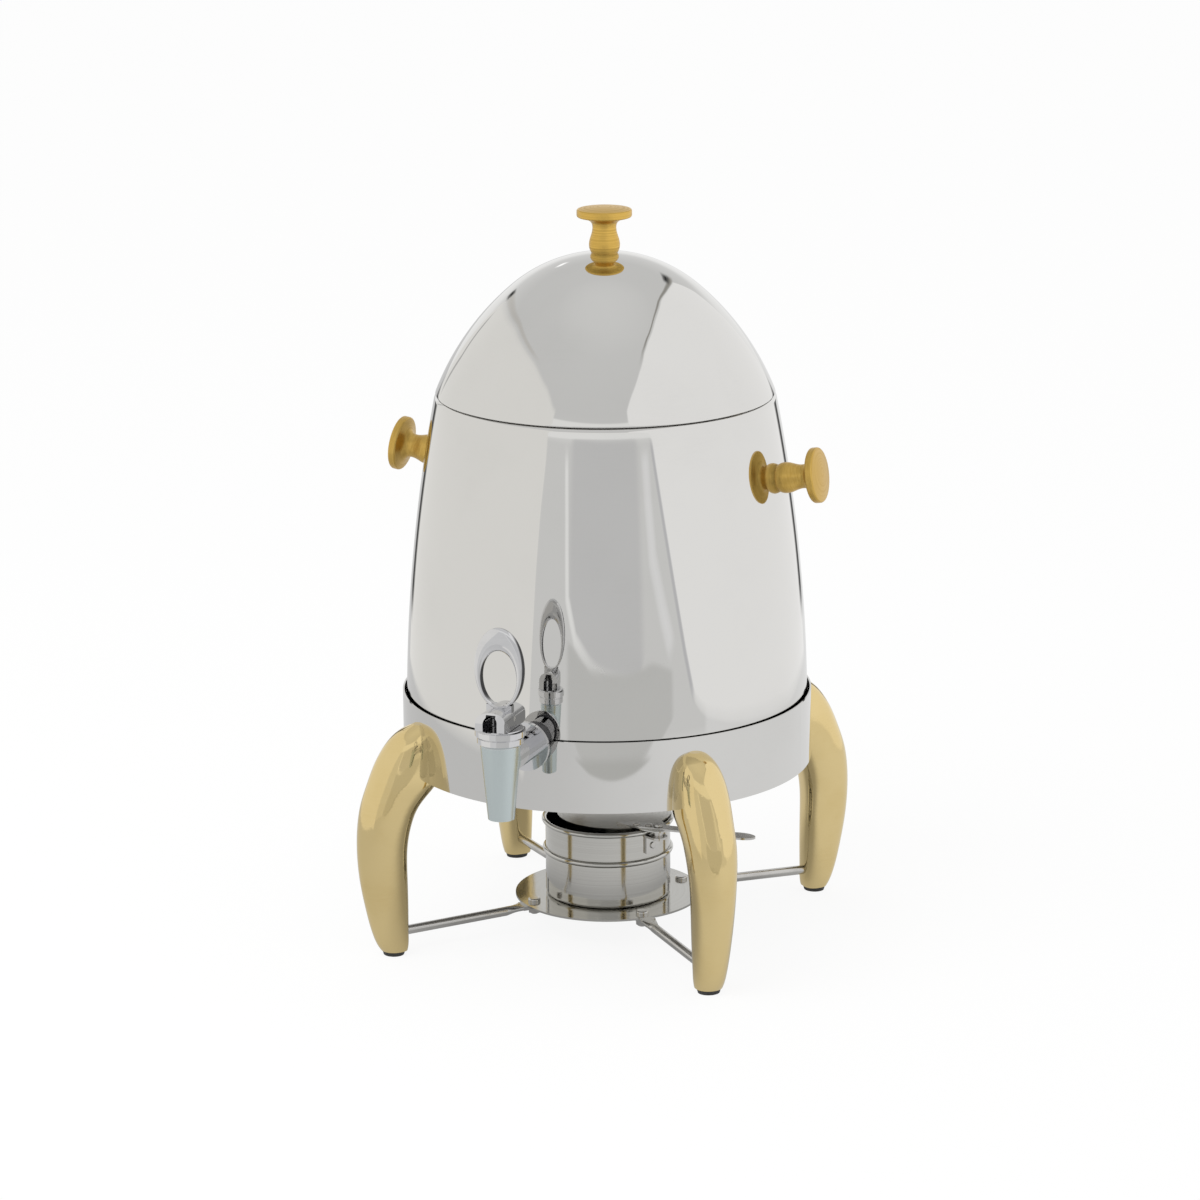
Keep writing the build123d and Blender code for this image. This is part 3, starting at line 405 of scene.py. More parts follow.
def build_chrome_painted_lines():
    group, source, sink = new_group(
        "chrome_plate", [("Colour", "NodeSocketColor", CHROME), ("Slot Radius", "NodeSocketFloat", 0.0045),
                         ("Slot Top", "NodeSocketFloat", 0.2255), ("Flank Share", "NodeSocketFloat", 0.94)],
        [("Colour", "NodeSocketColor")])
    place_in_room = add_node(group, "ShaderNodeTexCoord")
    facing = add_node(group, "ShaderNodeVectorMath", operation="DOT_PRODUCT")
    facing.inputs[1].default_value = TAP_RIGHT
    flank = soft_step(group, *FLANK_FACING)
    across = add_node(group, "ShaderNodeVectorMath", operation="MULTIPLY")
    across.inputs[1].default_value = TAP_RIGHT
    from_middle = add_node(group, "ShaderNodeVectorMath", operation="LENGTH")
    inside = add_node(group, "ShaderNodeMath", operation="LESS_THAN")
    split = add_node(group, "ShaderNodeSeparateXYZ")
    below = add_node(group, "ShaderNodeMath", operation="LESS_THAN")
    slot = add_node(group, "ShaderNodeMath", operation="MULTIPLY")
    painted_slot_share = add_node(group, "ShaderNodeMath", operation="MULTIPLY")
    painted_slot_share.inputs[1].default_value = SLOT_PAINTED_SHADE
    dark = add_node(group, "ShaderNodeMath", operation="MAXIMUM")
    tint = add_node(group, "ShaderNodeMix", data_type="RGBA")
    tint.inputs[7].default_value = PAINTED_DARK
    join(group, place_in_room.outputs["Normal"], facing.inputs[0])
    join(group, facing.outputs["Value"], flank.inputs["Value"])
    join(group, source.outputs["Flank Share"], flank.inputs["To Max"])
    join(group, place_in_room.outputs["Object"], across.inputs[0])
    join(group, across.outputs[0], from_middle.inputs[0])
    join(group, from_middle.outputs["Value"], inside.inputs[0])
    join(group, source.outputs["Slot Radius"], inside.inputs[1])
    join(group, place_in_room.outputs["Object"], split.inputs[0])
    join(group, split.outputs["Z"], below.inputs[0])
    join(group, source.outputs["Slot Top"], below.inputs[1])
    join(group, inside.outputs[0], slot.inputs[0])
    join(group, below.outputs[0], slot.inputs[1])
    join(group, slot.outputs[0], painted_slot_share.inputs[0])
    join(group, flank.outputs["Result"], dark.inputs[0])
    join(group, painted_slot_share.outputs[0], dark.inputs[1])
    join(group, dark.outputs[0], tint.inputs[0])
    join(group, source.outputs["Colour"], tint.inputs[6])
    join(group, tint.outputs[2], sink.inputs["Colour"])
    return group


chrome_plate = build_chrome_painted_lines()
print("group", chrome_plate.name, "gives a colour")

# %% The lever's chrome
CHROME_ROUGHNESS = {"Clear_Roughness": 0.02, "Hazy_Roughness": 0.07, "Cloud_Scale": 60.0}


def chrome_with_painted_lines(name, slot_radius, flank_share):
    material, tree, shader = new_finish(name, Metallic=1.0)
    haze = use_group(tree, wiped_haze, Colour=CHROME, Hazy_Colour=CHROME_HAZE, **CHROME_ROUGHNESS)
    plate = use_group(tree, chrome_plate, Slot_Radius=slot_radius, Flank_Share=flank_share)
    join(tree, haze.outputs["Colour"], plate.inputs["Colour"])
    join(tree, plate.outputs["Colour"], shader.inputs["Base Color"])
    join(tree, haze.outputs["Roughness"], shader.inputs["Roughness"])
    return material


# Both chromes carry the painted dark reflection lines; the saddle's also carries the painted shade in its
# slot.
tap_chrome = chrome_with_painted_lines("tap_chrome", 0.0, 0.95)
saddle_chrome = chrome_with_painted_lines("saddle_chrome", 0.0036, 0.55)
print("finishes", tap_chrome.name, saddle_chrome.name)

# %% [markdown]
# ## The tap body: satin on the spout, bright elsewhere
#
# The spout's cone is blasted to a soft bluish satin, while the two rings round its top, the barrel and
# the flange are polished. It is one casting, so it is one material: a mask made from how far a point is
# from the spout's own axis, and how low, chooses between the two finishes.

# %% Tap body finish
SATIN_BELOW = (0.2005, 0.1990)
SATIN_WITHIN = (0.0170, 0.0155)
SATIN_COLOUR = (0.565, 0.63, 0.635, 1)
SATIN_ROUGHNESS = 0.30


def tap_body_finish():
    material, tree, shader = new_finish("tap_body_chrome", Metallic=1.0)
    place_in_room = add_node(tree, "ShaderNodeTexCoord")
    split = add_node(tree, "ShaderNodeSeparateXYZ")
    low_part = soft_step(tree, *SATIN_BELOW)
    across = add_node(tree, "ShaderNodeVectorMath", operation="MULTIPLY")
    across.inputs[1].default_value = (1, 1, 0)
    from_axis = add_node(tree, "ShaderNodeVectorMath", operation="DISTANCE")
    from_axis.inputs[1].default_value = tap_axis
    near = soft_step(tree, *SATIN_WITHIN)
    satin = add_node(tree, "ShaderNodeMath", operation="MULTIPLY")
    haze = use_group(tree, wiped_haze, Colour=CHROME, Hazy_Colour=CHROME_HAZE, **CHROME_ROUGHNESS)
    grit = add_node(tree, "ShaderNodeTexNoise", Scale=2600.0, Detail=2.0)
    rough = add_node(tree, "ShaderNodeMix", data_type="FLOAT")
    rough.inputs[3].default_value = SATIN_ROUGHNESS
    tint = add_node(tree, "ShaderNodeMix", data_type="RGBA")
    tint.inputs[7].default_value = SATIN_COLOUR
    height = add_node(tree, "ShaderNodeMath", operation="MULTIPLY")
    bump = add_node(tree, "ShaderNodeBump", Strength=0.5, Distance=0.00004)
    join(tree, place_in_room.outputs["Object"], split.inputs[0])
    join(tree, split.outputs["Z"], low_part.inputs["Value"])
    join(tree, place_in_room.outputs["Object"], across.inputs[0])
    join(tree, across.outputs[0], from_axis.inputs[0])
    join(tree, from_axis.outputs["Value"], near.inputs["Value"])
    join(tree, low_part.outputs["Result"], satin.inputs[0])
    join(tree, near.outputs["Result"], satin.inputs[1])
    join(tree, satin.outputs[0], rough.inputs[0])
    join(tree, haze.outputs["Roughness"], rough.inputs[2])
    join(tree, rough.outputs[0], shader.inputs["Roughness"])
    join(tree, satin.outputs[0], tint.inputs[0])
    join(tree, haze.outputs["Colour"], tint.inputs[6])
    join(tree, tint.outputs[2], shader.inputs["Base Color"])
    join(tree, place_in_room.outputs["Object"], grit.inputs["Vector"])
    join(tree, grit.outputs["Fac"], height.inputs[0])
    join(tree, satin.outputs[0], height.inputs[1])
    join(tree, height.outputs[0], bump.inputs["Height"])
    join(tree, bump.outputs["Normal"], shader.inputs["Normal"])
    return material


tap_body_chrome = tap_body_finish()
print("finish", tap_body_chrome.name)

# %% [markdown]
# ## Gold plate on the legs
#
# The gilding is as thin as breath and shows every wave of the polished casting under it. The waves could
# be modelled, but they are hundredths of a millimetre high, so the shared ripple bends the light instead.

# %% Gold plate on the legs
def leg_gold():
    material, tree, shader = new_finish("leg_gold", Metallic=1.0)
    polish = use_group(tree, hand_polish, Wander_Scale=26.0, Peel_Scale=380.0, Peel_Share=0.03)
    haze = use_group(tree, wiped_haze, Clear_Roughness=0.07, Hazy_Roughness=0.16, Cloud_Scale=30.0,
                     Colour=(0.75, 0.595, 0.30, 1), Hazy_Colour=(0.70, 0.54, 0.25, 1))
    bump = add_node(tree, "ShaderNodeBump", Strength=0.5, Distance=0.00035)
    join(tree, polish.outputs["Height"], bump.inputs["Height"])
    join(tree, bump.outputs["Normal"], shader.inputs["Normal"])
    join(tree, haze.outputs["Roughness"], shader.inputs["Roughness"])
    join(tree, haze.outputs["Colour"], shader.inputs["Base Color"])
    return material


plated_gold = leg_gold()
print("finish", plated_gold.name)

# %% [markdown]
# ## Satin gold on the knobs
#
# Each knob is turned on a lathe, so its lines run round its own axis, and each has a finish of its own:
# upright for the lid's, and leaning with the wall for the two at the sides. The lid's knob is given a
# lighter, richer gold than the other two, as painted light.

# %% Three knob finishes
def knob_gold(name, centre, axis, colour=(0.64, 0.43, 0.12, 1)):
    return spun_steel(name, centre, axis, colour, (0.52, 0.33, 0.075, 1),
                      900.0, 0.28, 0.42, 0.00006)


def middle(node):
    low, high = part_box(node)
    return (low + high) / 2


knob_lean = math.radians(8.9)
knob_out, knob_up = math.cos(knob_lean), math.sin(knob_lean)
knob_finishes = {
    # The lid knob's lighter gold is painted light; the knobs are one gold.
    "lid_knob": knob_gold("lid_knob_gold", middle("lid_knob"), UP, (0.78, 0.51, 0.125, 1)),
    "handle_right": knob_gold("right_knob_gold", middle("handle_right"), (knob_out, 0, knob_up)),
    "handle_left": knob_gold("left_knob_gold", middle("handle_left"), (-knob_out, 0, knob_up)),
}
print("knob finishes", sorted(knob_finishes))

# %% [markdown]
# ## Rubber and silicone
#
# The feet's pads are cast rubber and the gaskets are silicone. Both are matt and dark, with a fine
# speckle, which a small noise gives to the colour and to the bump together.

# %% Rubber and silicone
def soft_finish(name, colour, pale, roughness, grain_scale):
    material, tree, shader = new_finish(name, Roughness=roughness)
    place_in_room = add_node(tree, "ShaderNodeTexCoord")
    speckle = add_node(tree, "ShaderNodeTexNoise", Scale=grain_scale, Detail=3.0)
    tint = add_node(tree, "ShaderNodeMix", data_type="RGBA")
    tint.inputs[6].default_value = colour
    tint.inputs[7].default_value = pale
    bump = add_node(tree, "ShaderNodeBump", Strength=0.4, Distance=0.00008)
    join(tree, place_in_room.outputs["Object"], speckle.inputs["Vector"])
    join(tree, speckle.outputs["Fac"], tint.inputs[0])
    join(tree, tint.outputs[2], shader.inputs["Base Color"])
    join(tree, speckle.outputs["Fac"], bump.inputs["Height"])
    join(tree, bump.outputs["Normal"], shader.inputs["Normal"])
    return material


black_rubber = soft_finish("black_rubber", (0.012, 0.012, 0.012, 1), (0.05, 0.048, 0.045, 1), 0.6, 900.0)
silicone = soft_finish("silicone", (0.018, 0.018, 0.02, 1), (0.05, 0.05, 0.055, 1), 0.45, 700.0)
print("finishes", black_rubber.name, silicone.name)

# %% [markdown]
# ## Dressing the CAD nodes
#
# Where the CAD solid has the right shape it stays, and only its finish is given here.

# %% Give each CAD node its finish
FINISHES = {
    polished_steel: ["vessel_wall", "lid_dome", "stand_ring"],
    cup_steel: ["burner_cup", "burner_plate", "damper_disc"],
    inner_steel: ["urn_ledge", "vessel_floor", "vessel_rim", "lid_band", "tap_washer"],
    saddle_chrome: ["tap_lever"],
    tap_chrome: ["tap_bonnet"],
    # The stem's near-black steel is painted shade for the tap's slot.
    dark_steel: ["tap_stem"],
    tap_body_chrome: ["tap_body"],
    silicone: ["tap_outer_gasket", "tap_inner_gasket", "tap_seat_cup", "handle_washers", "lid_knob_washer"],
}
finish_of = {name: rod_steel for name in nodes}
finish_of.update({name: finish for finish, names in FINISHES.items() for name in names})
finish_of.update(knob_finishes)
for name in nodes:
    if name.startswith("leg_") and name not in ("leg_screws", "leg_washers"):
        finish_of[name] = plated_gold
    if name.startswith("foot_pad"):
        finish_of[name] = black_rubber
for name, node in nodes.items():
    node.data.materials.clear()
    node.data.materials.append(finish_of[name])
print("dressed", len(finish_of), "nodes")

# %% [markdown]
# ## The urn's wall and its mouth
#
# The wall is one sheet, spun to a long slow arc. At the seam its top is rolled in a little, so that the
# lid sits over a soft shoulder and the joint reads as a dark groove with a bright line under it. A CAD
# cylinder has no such shoulder, so the wall is turned here again from the same arc, with the roll added.
# The mesh is a lathe profile swept round, and each point is given the exact normal of the profile:
# a mirror shows every error in a normal, and normals averaged from faces would wobble at the roll.

# %% A lathe with exact normals
def arc_points(centre, radius, start, end, steps):
    """Points (radius, height) along an arc; angles in degrees, 0 outwards and 90 up."""
    return [(centre[0] + radius * math.cos(math.radians(start + (end - start) * k / steps)),
             centre[1] + radius * math.sin(math.radians(start + (end - start) * k / steps)))
            for k in range(steps + 1)]


def turned_piece(name, profile, body, finish, replaced, segments=288):
    """Sweep a closed profile, drawn with the outer side going up, round the urn's axis."""
    count = len(profile)
    points, all_normals, faces = [], [], []
    slopes, normals = [], []
    for (r1, z1), (r2, z2) in zip(profile, profile[1:] + profile[:1]):
        length = math.hypot(r2 - r1, z2 - z1)
        slopes.append(((z2 - z1) / length, (r1 - r2) / length))
    for number in range(count):
        before, after = slopes[number - 1], slopes[number]
        out, rise = before[0] + after[0], before[1] + after[1]
        size = math.hypot(out, rise) or 1.0
        normals.append((out / size, rise / size))
    for segment in range(segments):
        turn = math.tau * segment / segments
        c, s = math.cos(turn), math.sin(turn)
        points += [(urn_axis.x + r * c, urn_axis.y + r * s, z) for r, z in profile]
        all_normals += [(out * c, out * s, rise) for out, rise in normals]
    for segment in range(segments):
        here, there = segment * count, (segment + 1) % segments * count
        for number in range(count):
            after = (number + 1) % count
            faces.append((here + number, there + number, there + after, here + after))
    mesh = bpy.data.meshes.new(name)
    mesh.from_pydata(points, [], faces)
    mesh.shade_smooth()
    mesh.normals_split_custom_set_from_vertices(all_normals)
    piece = bpy.data.objects.new(name, mesh)
    bpy.context.scene.collection.objects.link(piece)
    piece.data.materials.append(finish)
    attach(piece, body)
    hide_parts(replaced)
    return piece


print("lathe ready, for the wall, the lid and the mouth's ring")

# %% The wall's arc, with the rolled shoulder at its top
SHEET = 0.0012
WALL_ARC = 1.3
FOOT_CORNER = 0.006
FOOT_WIDTH = 0.012
ROLL = 0.005
ROLL_END = 60
LIP = 0.0003
EASE = 0.0002

foot_r = (wall_high.x - wall_low.x) / 2
arc_base = wall_low.z + FOOT_CORNER


def wall_r(height):
    return foot_r - WALL_ARC + math.sqrt(WALL_ARC ** 2 - (height - arc_base) ** 2)


def wall_lean(height):
    return math.degrees(math.asin((height - arc_base) / WALL_ARC))


# The roll starts where its top comes out at the wall's full height; a few rounds settle it.
roll_start = wall_high.z
for _ in range(6):
    roll_rise = math.sin(math.radians(ROLL_END)) - math.sin(math.radians(wall_lean(roll_start)))
    roll_start = wall_high.z - ROLL * roll_rise
lean = wall_lean(roll_start)
roll_centre = (wall_r(roll_start) - ROLL * math.cos(math.radians(lean)),
               roll_start - ROLL * math.sin(math.radians(lean)))
corner_centre = (foot_r - FOOT_CORNER, arc_base)
heights = [arc_base + (roll_start - arc_base) * k / 60 for k in range(1, 60)]
outside = arc_points(corner_centre, FOOT_CORNER, -90, 0, 10)
outside += [(wall_r(h), h) for h in heights]
outside += arc_points(roll_centre, ROLL, lean, ROLL_END, 14)
inside = arc_points(roll_centre, ROLL - SHEET, ROLL_END, lean, 10)
inside += [(wall_r(h) - SHEET, h) for h in reversed(heights)]
inside += arc_points(corner_centre, FOOT_CORNER - SHEET, 0, -90, 8)
foot_end = foot_r - FOOT_CORNER - FOOT_WIDTH
foot_hem = [(foot_end + EASE, wall_low.z + SHEET), (foot_end, wall_low.z + SHEET - LIP),
            (foot_end, wall_low.z + LIP), (foot_end + EASE, wall_low.z)]
urn_wall = turned_piece("spun_wall", outside + inside + foot_hem, "urn", polished_steel,
                        "vessel_wall")
print("wall", len(urn_wall.data.polygons), "faces")
print("shoulder starts", round((wall_high.z - roll_start) * 1000, 2), "mm under the seam")

# %% [markdown]
# ## The lid's dome
#
# The lid is pressed from the same sheet: a long side arc that runs up into a rounder crown. The two
# must share one tangent where they meet, or every reflection breaks there, so the side arc's radius is
# worked out from the crown, the shoulder and the lower edge instead of being given. The edge stops just
# short of the seam, and leaves the thin dark groove one sees there.

# %% Dome
CROWN_R = 0.107
SHOULDER_R = 0.0695
KNOB_HOLE_R = 0.00305
GROOVE = 0.0006

dome_low, dome_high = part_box("lid_dome")
edge_r = (dome_high.x - dome_low.x) / 2
crown_z = dome_high.z - math.sqrt(CROWN_R ** 2 - KNOB_HOLE_R ** 2)
shoulder_turn = math.degrees(math.acos(SHOULDER_R / CROWN_R))
shoulder = Vector((SHOULDER_R, crown_z + math.sqrt(CROWN_R ** 2 - SHOULDER_R ** 2)))
chord = shoulder - Vector((edge_r, dome_low.z))
chord_turn = math.degrees(math.atan2(-chord.x, chord.y))
side_r = chord.length / 2 / math.sin(math.radians(shoulder_turn - chord_turn))
side_start = 2 * chord_turn - shoulder_turn
side_centre = (shoulder.x - side_r * math.cos(math.radians(shoulder_turn)),
               shoulder.y - side_r * math.sin(math.radians(shoulder_turn)))


def dome_skin(inset):
    hole_turn = math.degrees(math.acos(KNOB_HOLE_R / (CROWN_R - inset)))
    skin = arc_points(side_centre, side_r - inset, side_start, shoulder_turn, 60)
    skin = [point for point in skin if point[1] > dome_low.z + GROOVE + LIP]
    return skin + arc_points((0, crown_z), CROWN_R - inset, shoulder_turn, hole_turn, 50)[1:]


edge_z = dome_low.z + GROOVE
lid_hem = [(edge_r - SHEET - 0.0001, edge_z), (edge_r - 0.0006, edge_z), (edge_r - 0.0004, edge_z + EASE)]
lid_skin = turned_piece("pressed_dome", lid_hem + dome_skin(0) + dome_skin(SHEET)[::-1], "lid",
                        polished_steel, "lid_dome")
print("dome", len(lid_skin.data.polygons), "faces; side arc", round(side_r * 1000, 1), "mm in radius")

# %% [markdown]
# ## The ring in the mouth
#
# A pressed ring is welded inside the mouth: the lid sits on its flat top and its skirt stiffens the wall.
# It is an angle shape with its corners eased, so each corner of a plain outline is rounded a little.

# %% The ring inside the mouth, which the lid sits on
def eased_corners(corners, size):
    """A closed outline with each corner rounded by about this size."""
    outline = []
    for number, corner in enumerate(corners):
        here = Vector(corner)
        back_way = (Vector(corners[number - 1]) - here).normalized() * size
        on_way = (Vector(corners[(number + 1) % len(corners)]) - here).normalized() * size
        outline += [here + back_way * 1.5]
        for t in (0.0, 0.33, 0.67, 1.0):
            outline += [here + back_way * (1 - t) ** 2 + on_way * t ** 2]
        outline += [here + on_way * 1.5]
    return [tuple(point) for point in outline]


rim_low, rim_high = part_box("vessel_rim")
SEAT_WIDTH = 0.0101
seat_r = wall_r(wall_high.z)
skirt_r = wall_r(rim_low.z) - SHEET - 0.0001
mouth_r = seat_r - SHEET - SEAT_WIDTH
mouth_corners = [(skirt_r, rim_low.z), (seat_r - 0.0014, rim_high.z - 0.0036),
                 (seat_r - 0.0028, rim_high.z), (mouth_r, rim_high.z), (mouth_r, rim_low.z),
                 (mouth_r + SHEET, rim_low.z),
                 (mouth_r + SHEET, rim_high.z - SHEET), (skirt_r - SHEET, rim_high.z - 0.0055),
                 (skirt_r - SHEET, rim_low.z)]
turned_piece("mouth_ring", eased_corners(mouth_corners, LIP), "urn", inner_steel,
             "vessel_rim", 192)
print("mouth", round(mouth_r * 2000, 1), "mm across")

# %% [markdown]
# ## The tap's oval ring
#
# The ring one pulls is a chromed casting. Its limbs are nearly round in section, and its broad top is a
# low pillow, so it carries thin dark and bright lines along both edges. The CAD ring is a flat plate
# with eased edges. Here it is swept again between the same outer oval and the same hole: at each angle
# a flattened round section spans from the one to the other. The saddle under it is the CAD mesh, cut
# off just above the neck's foot.

# %% Saddle and ring
lever_low, lever_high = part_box("tap_lever")
RING_OUTER = (0.0186, 0.0293)
RING_HOLE = (0.0130, 0.0197)
HOLE_DROP = 0.0072
RING_THICKNESS = 0.0070
PILLOW = 0.82
SADDLE_CUT = 0.0032

ring_middle = Vector((tap_axis.x, tap_axis.y, lever_high.z - RING_OUTER[1]))
saddle_cut = ring_middle.z - RING_OUTER[1] + SADDLE_CUT


def cut_saddle():
    shape = bmesh.new()
    shape.from_mesh(nodes["tap_lever"].data)
    everything = shape.verts[:] + shape.edges[:] + shape.faces[:]
    bmesh.ops.bisect_plane(shape, geom=everything, plane_co=(0, 0, saddle_cut), plane_no=(0, 0, 1),
                           clear_outer=True)
    rim = [edge for edge in shape.edges if edge.is_boundary]
    bmesh.ops.holes_fill(shape, edges=rim)
    mesh = bpy.data.meshes.new("lever_saddle")
    shape.to_mesh(mesh)
    shape.free()
    mesh.shade_smooth()
    mesh.set_sharp_from_angle(angle=math.radians(32))
    return mesh


def oval(half_axes, middle_drop, angle, reference):
    """Where a ray from the reference point at an angle meets an oval."""
    across, up = math.cos(angle), math.sin(angle)
    shift = reference - middle_drop
    a = (across / half_axes[0]) ** 2 + (up / half_axes[1]) ** 2
    b = 2 * shift * up / half_axes[1] ** 2
    c = (shift / half_axes[1]) ** 2 - 1
    reach = (-b + math.sqrt(b * b - 4 * a * c)) / (2 * a)
    return Vector((reach * across, 0, reach * up + reference))


def ring_mesh(around=160, section=28):
    points, faces = [], []
    for step in range(around):
        angle = math.tau * step / around
        outer = oval(RING_OUTER, 0.0, angle, -HOLE_DROP)
        hole = oval(RING_HOLE, -HOLE_DROP, angle, -HOLE_DROP)
        middle, half = (outer + hole) / 2, (outer - hole) / 2
        for number in range(section):
            turn = math.tau * number / section
            c, n = math.cos(turn), math.sin(turn)
            along = math.copysign(abs(c) ** PILLOW, c)
            depth = math.copysign(abs(n) ** PILLOW, n) * RING_THICKNESS / 2
            points.append(ring_middle + middle + half * along + Vector((0, depth, 0)))
    for step in range(around):
        here, there = step * section, (step + 1) % around * section
        for number in range(section):
            after = (number + 1) % section
            faces.append((here + number, here + after, there + after, there + number))
    mesh = bpy.data.meshes.new("lever_ring")
    mesh.from_pydata(points, [], faces)
    mesh.shade_smooth()
    return mesh


for mesh, finish in ((cut_saddle(), saddle_chrome), (ring_mesh(), tap_chrome)):
    piece = bpy.data.objects.new(mesh.name, mesh)
    bpy.context.scene.collection.objects.link(piece)
    piece.data.materials.append(finish)
    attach(piece, "tap_lever")
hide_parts("tap_lever")
print("ring middle at", round(ring_middle.z, 4), "saddle cut at", round(saddle_cut, 4))

# %% [markdown]
# ## The studio
#
# A mirror shows the room. In the photograph the room is a pale light tent: one tall pane each side,
# a greyer opening in front where the camera stands, and thin dark seams far round the sides, which
# draw the dark lines along the silhouette. Each is a curved card here, standing round the urn. A card
# is seen only in reflections: it casts no shadow, lights nothing, and the camera looks through it.
# Its edges fade out, as the edges of real cloth and paper do when they are out of focus.

# %% A finish for cards, with a soft edge
CARD_REACH = 0.62


def card_finish(name, tone):
    material = bpy.data.materials.new(name)
    material.use_nodes = True
    tree = material.node_tree
    tree.nodes.clear()
    cover = add_node(tree, "ShaderNodeAttribute", attribute_name="cover")
    glow = add_node(tree, "ShaderNodeEmission", Color=(*tone, 1), Strength=1.0)
    clear = tree.nodes.new("ShaderNodeBsdfTransparent")
    mix = tree.nodes.new("ShaderNodeMixShader")
    out = tree.nodes.new("ShaderNodeOutputMaterial")
    join(tree, cover.outputs["Fac"], mix.inputs[0])
    join(tree, clear.outputs[0], mix.inputs[1])
    join(tree, glow.outputs[0], mix.inputs[2])
    join(tree, mix.outputs[0], out.inputs["Surface"])
    return material


def ease(share):
    share = min(max(share, 0.0), 1.0)
    return share * share * (3 - 2 * share)


def hang_card(name, rows, covers, tone):
    """Join rows of points into a card, with how solid it is at each point."""
    width = len(rows[0])
    points = [point for row in rows for point in row]
    faces = []
    for row in range(len(rows) - 1):
        for column in range(width - 1):
            corner = row * width + column
            faces.append((corner, corner + 1, corner + width + 1, corner + width))
    mesh = bpy.data.meshes.new(name)
    mesh.from_pydata(points, [], faces)
    cover = mesh.attributes.new("cover", "FLOAT", "POINT")
    cover.data.foreach_set("value", [value for row in covers for value in row])
    card = bpy.data.objects.new(name, mesh)
    bpy.context.scene.collection.objects.link(card)
    card.data.materials.append(card_finish(name + "_tone", tone))
    for ray in ("camera", "diffuse", "transmission", "volume_scatter", "shadow"):
        setattr(card, "visible_" + ray, False)
    return card


def round_urn(angle, height, reach):
    """A point at an angle round the urn, 0 to the front of the studio and positive to its right."""
    turn = math.radians(angle)
    outwards = toward_camera * math.cos(turn) + camera_right * math.sin(turn)
    return urn_axis + outwards * reach + Vector((0, 0, height))


def smooth_at(points, place):
    """Height of a smooth line through points of (place, height)."""
    slopes = []
    for number in range(len(points)):
        (a, low), (b, high) = points[max(number - 1, 0)], points[min(number + 1, len(points) - 1)]
        slopes.append((high - low) / (b - a))
    for number, ((a, low), (b, high)) in enumerate(zip(points, points[1:])):
        if place <= b:
            span, t = b - a, (place - a) / (b - a)
            bend = slopes[number] * t * (1 - t) ** 2 - slopes[number + 1] * t ** 2 * (1 - t)
            return low * (1 + 2 * t) * (1 - t) ** 2 + high * (3 - 2 * t) * t ** 2 + bend * span
    return points[-1][1]


def between(columns, angle):
    """Bottom and top of a card at an angle, from its few columns of (angle, bottom, top)."""
    return (smooth_at([(a, low) for a, low, high in columns], angle),
            smooth_at([(a, high) for a, low, high in columns], angle))


def pane(name, columns, tone, behind=0.0, side_fade=2.0, edge_fade=0.012, top_fade=0.012,
         levels=26):
    """A card with two upright sides, drawn by columns of (angle, bottom, top)."""
    start, end = columns[0][0], columns[-1][0]
    steps = max(12, int((end - start) / 1.0))
    rows, covers = [[] for _ in range(levels + 1)], [[] for _ in range(levels + 1)]
    for step in range(steps + 1):
        angle = start + (end - start) * step / steps
        low, high = between(columns, angle)
        side = ease((angle - start) / side_fade) * ease((end - angle) / side_fade)
        for level in range(levels + 1):
            share = ease(level / levels)
            height = low + (high - low) * share
            edge = ease((height - low) / edge_fade) * ease((high - height) / top_fade)
            rows[level].append(round_urn(angle, height, CARD_REACH + behind))
            covers[level].append(side * edge)
    return hang_card(name, rows, covers, tone)


TRACK_COVER = (0.0, 0.75, 1.0, 0.75, 0.0)
DEGREE = math.radians(1) * CARD_REACH


def seam_strip(name, path, width, tone, behind=0.0, solid=1.0, tail=3, head=3):
    """A narrow card along a path of (angle, height), fading to both sides and at its two ends."""
    rows, covers, fine = [[] for _ in TRACK_COVER], [[] for _ in TRACK_COVER], []
    for (a, low), (b, high) in zip(path, path[1:]):
        fine += [(a + (b - a) * k / 8, low + (high - low) * k / 8) for k in range(8)]
    fine.append(path[-1])
    for number, (angle, height) in enumerate(fine):
        before, after = fine[max(number - 1, 0)], fine[min(number + 1, len(fine) - 1)]
        run = Vector(((after[0] - before[0]) * DEGREE, after[1] - before[1])).normalized()
        end = ease(number / head) * ease((len(fine) - 1 - number) / tail)
        for track, share in enumerate(TRACK_COVER):
            offset = (track - 2) / 2 * width / 2
            rows[track].append(round_urn(angle - run.y * offset, height + run.x * offset * DEGREE,
                                         CARD_REACH + behind))
            covers[track].append(end * solid * share)
    return hang_card(name, rows, covers, tone)


print("cards can hang as panes or as seam strips")

# %% The two side panes
LEFT_PANE = [(-146, 0.06, 0.68), (-128, 0.045, 0.83), (-104, 0.03, 0.99), (-69, 0.02, 1.04),
             (-47, 0.02, 0.93), (-41, 0.02, 0.87), (-38.1, 0.19, 0.83), (-36.4, 0.34, 0.81),
             (-34, 0.45, 0.79)]
RIGHT_PANE = [(14, 0.70, 0.80), (18, 0.63, 0.89), (26, 0.475, 1.03), (31.6, 0.346, 1.13),
              (35.5, 0.264, 1.19), (39.8, 0.181, 1.26), (44.7, 0.105, 1.34), (60, 0.070, 1.48),
              (87, 0.052, 1.53), (116, 0.043, 1.32), (133, 0.053, 1.10), (146, 0.060, 0.90)]


def along_top(columns, start, end):
    """The smooth top edge of a pane between two angles."""
    return [(angle, between(columns, angle)[1]) for angle in range(start, end + 1, 2)]


pane("left_pane", LEFT_PANE, (0.90, 0.89, 0.865), side_fade=1.0, top_fade=0.05)
pane("right_pane", RIGHT_PANE, (1.0, 0.995, 0.99), side_fade=1.0, top_fade=0.025)
print("side panes hang", CARD_REACH, "m from the urn's axis")

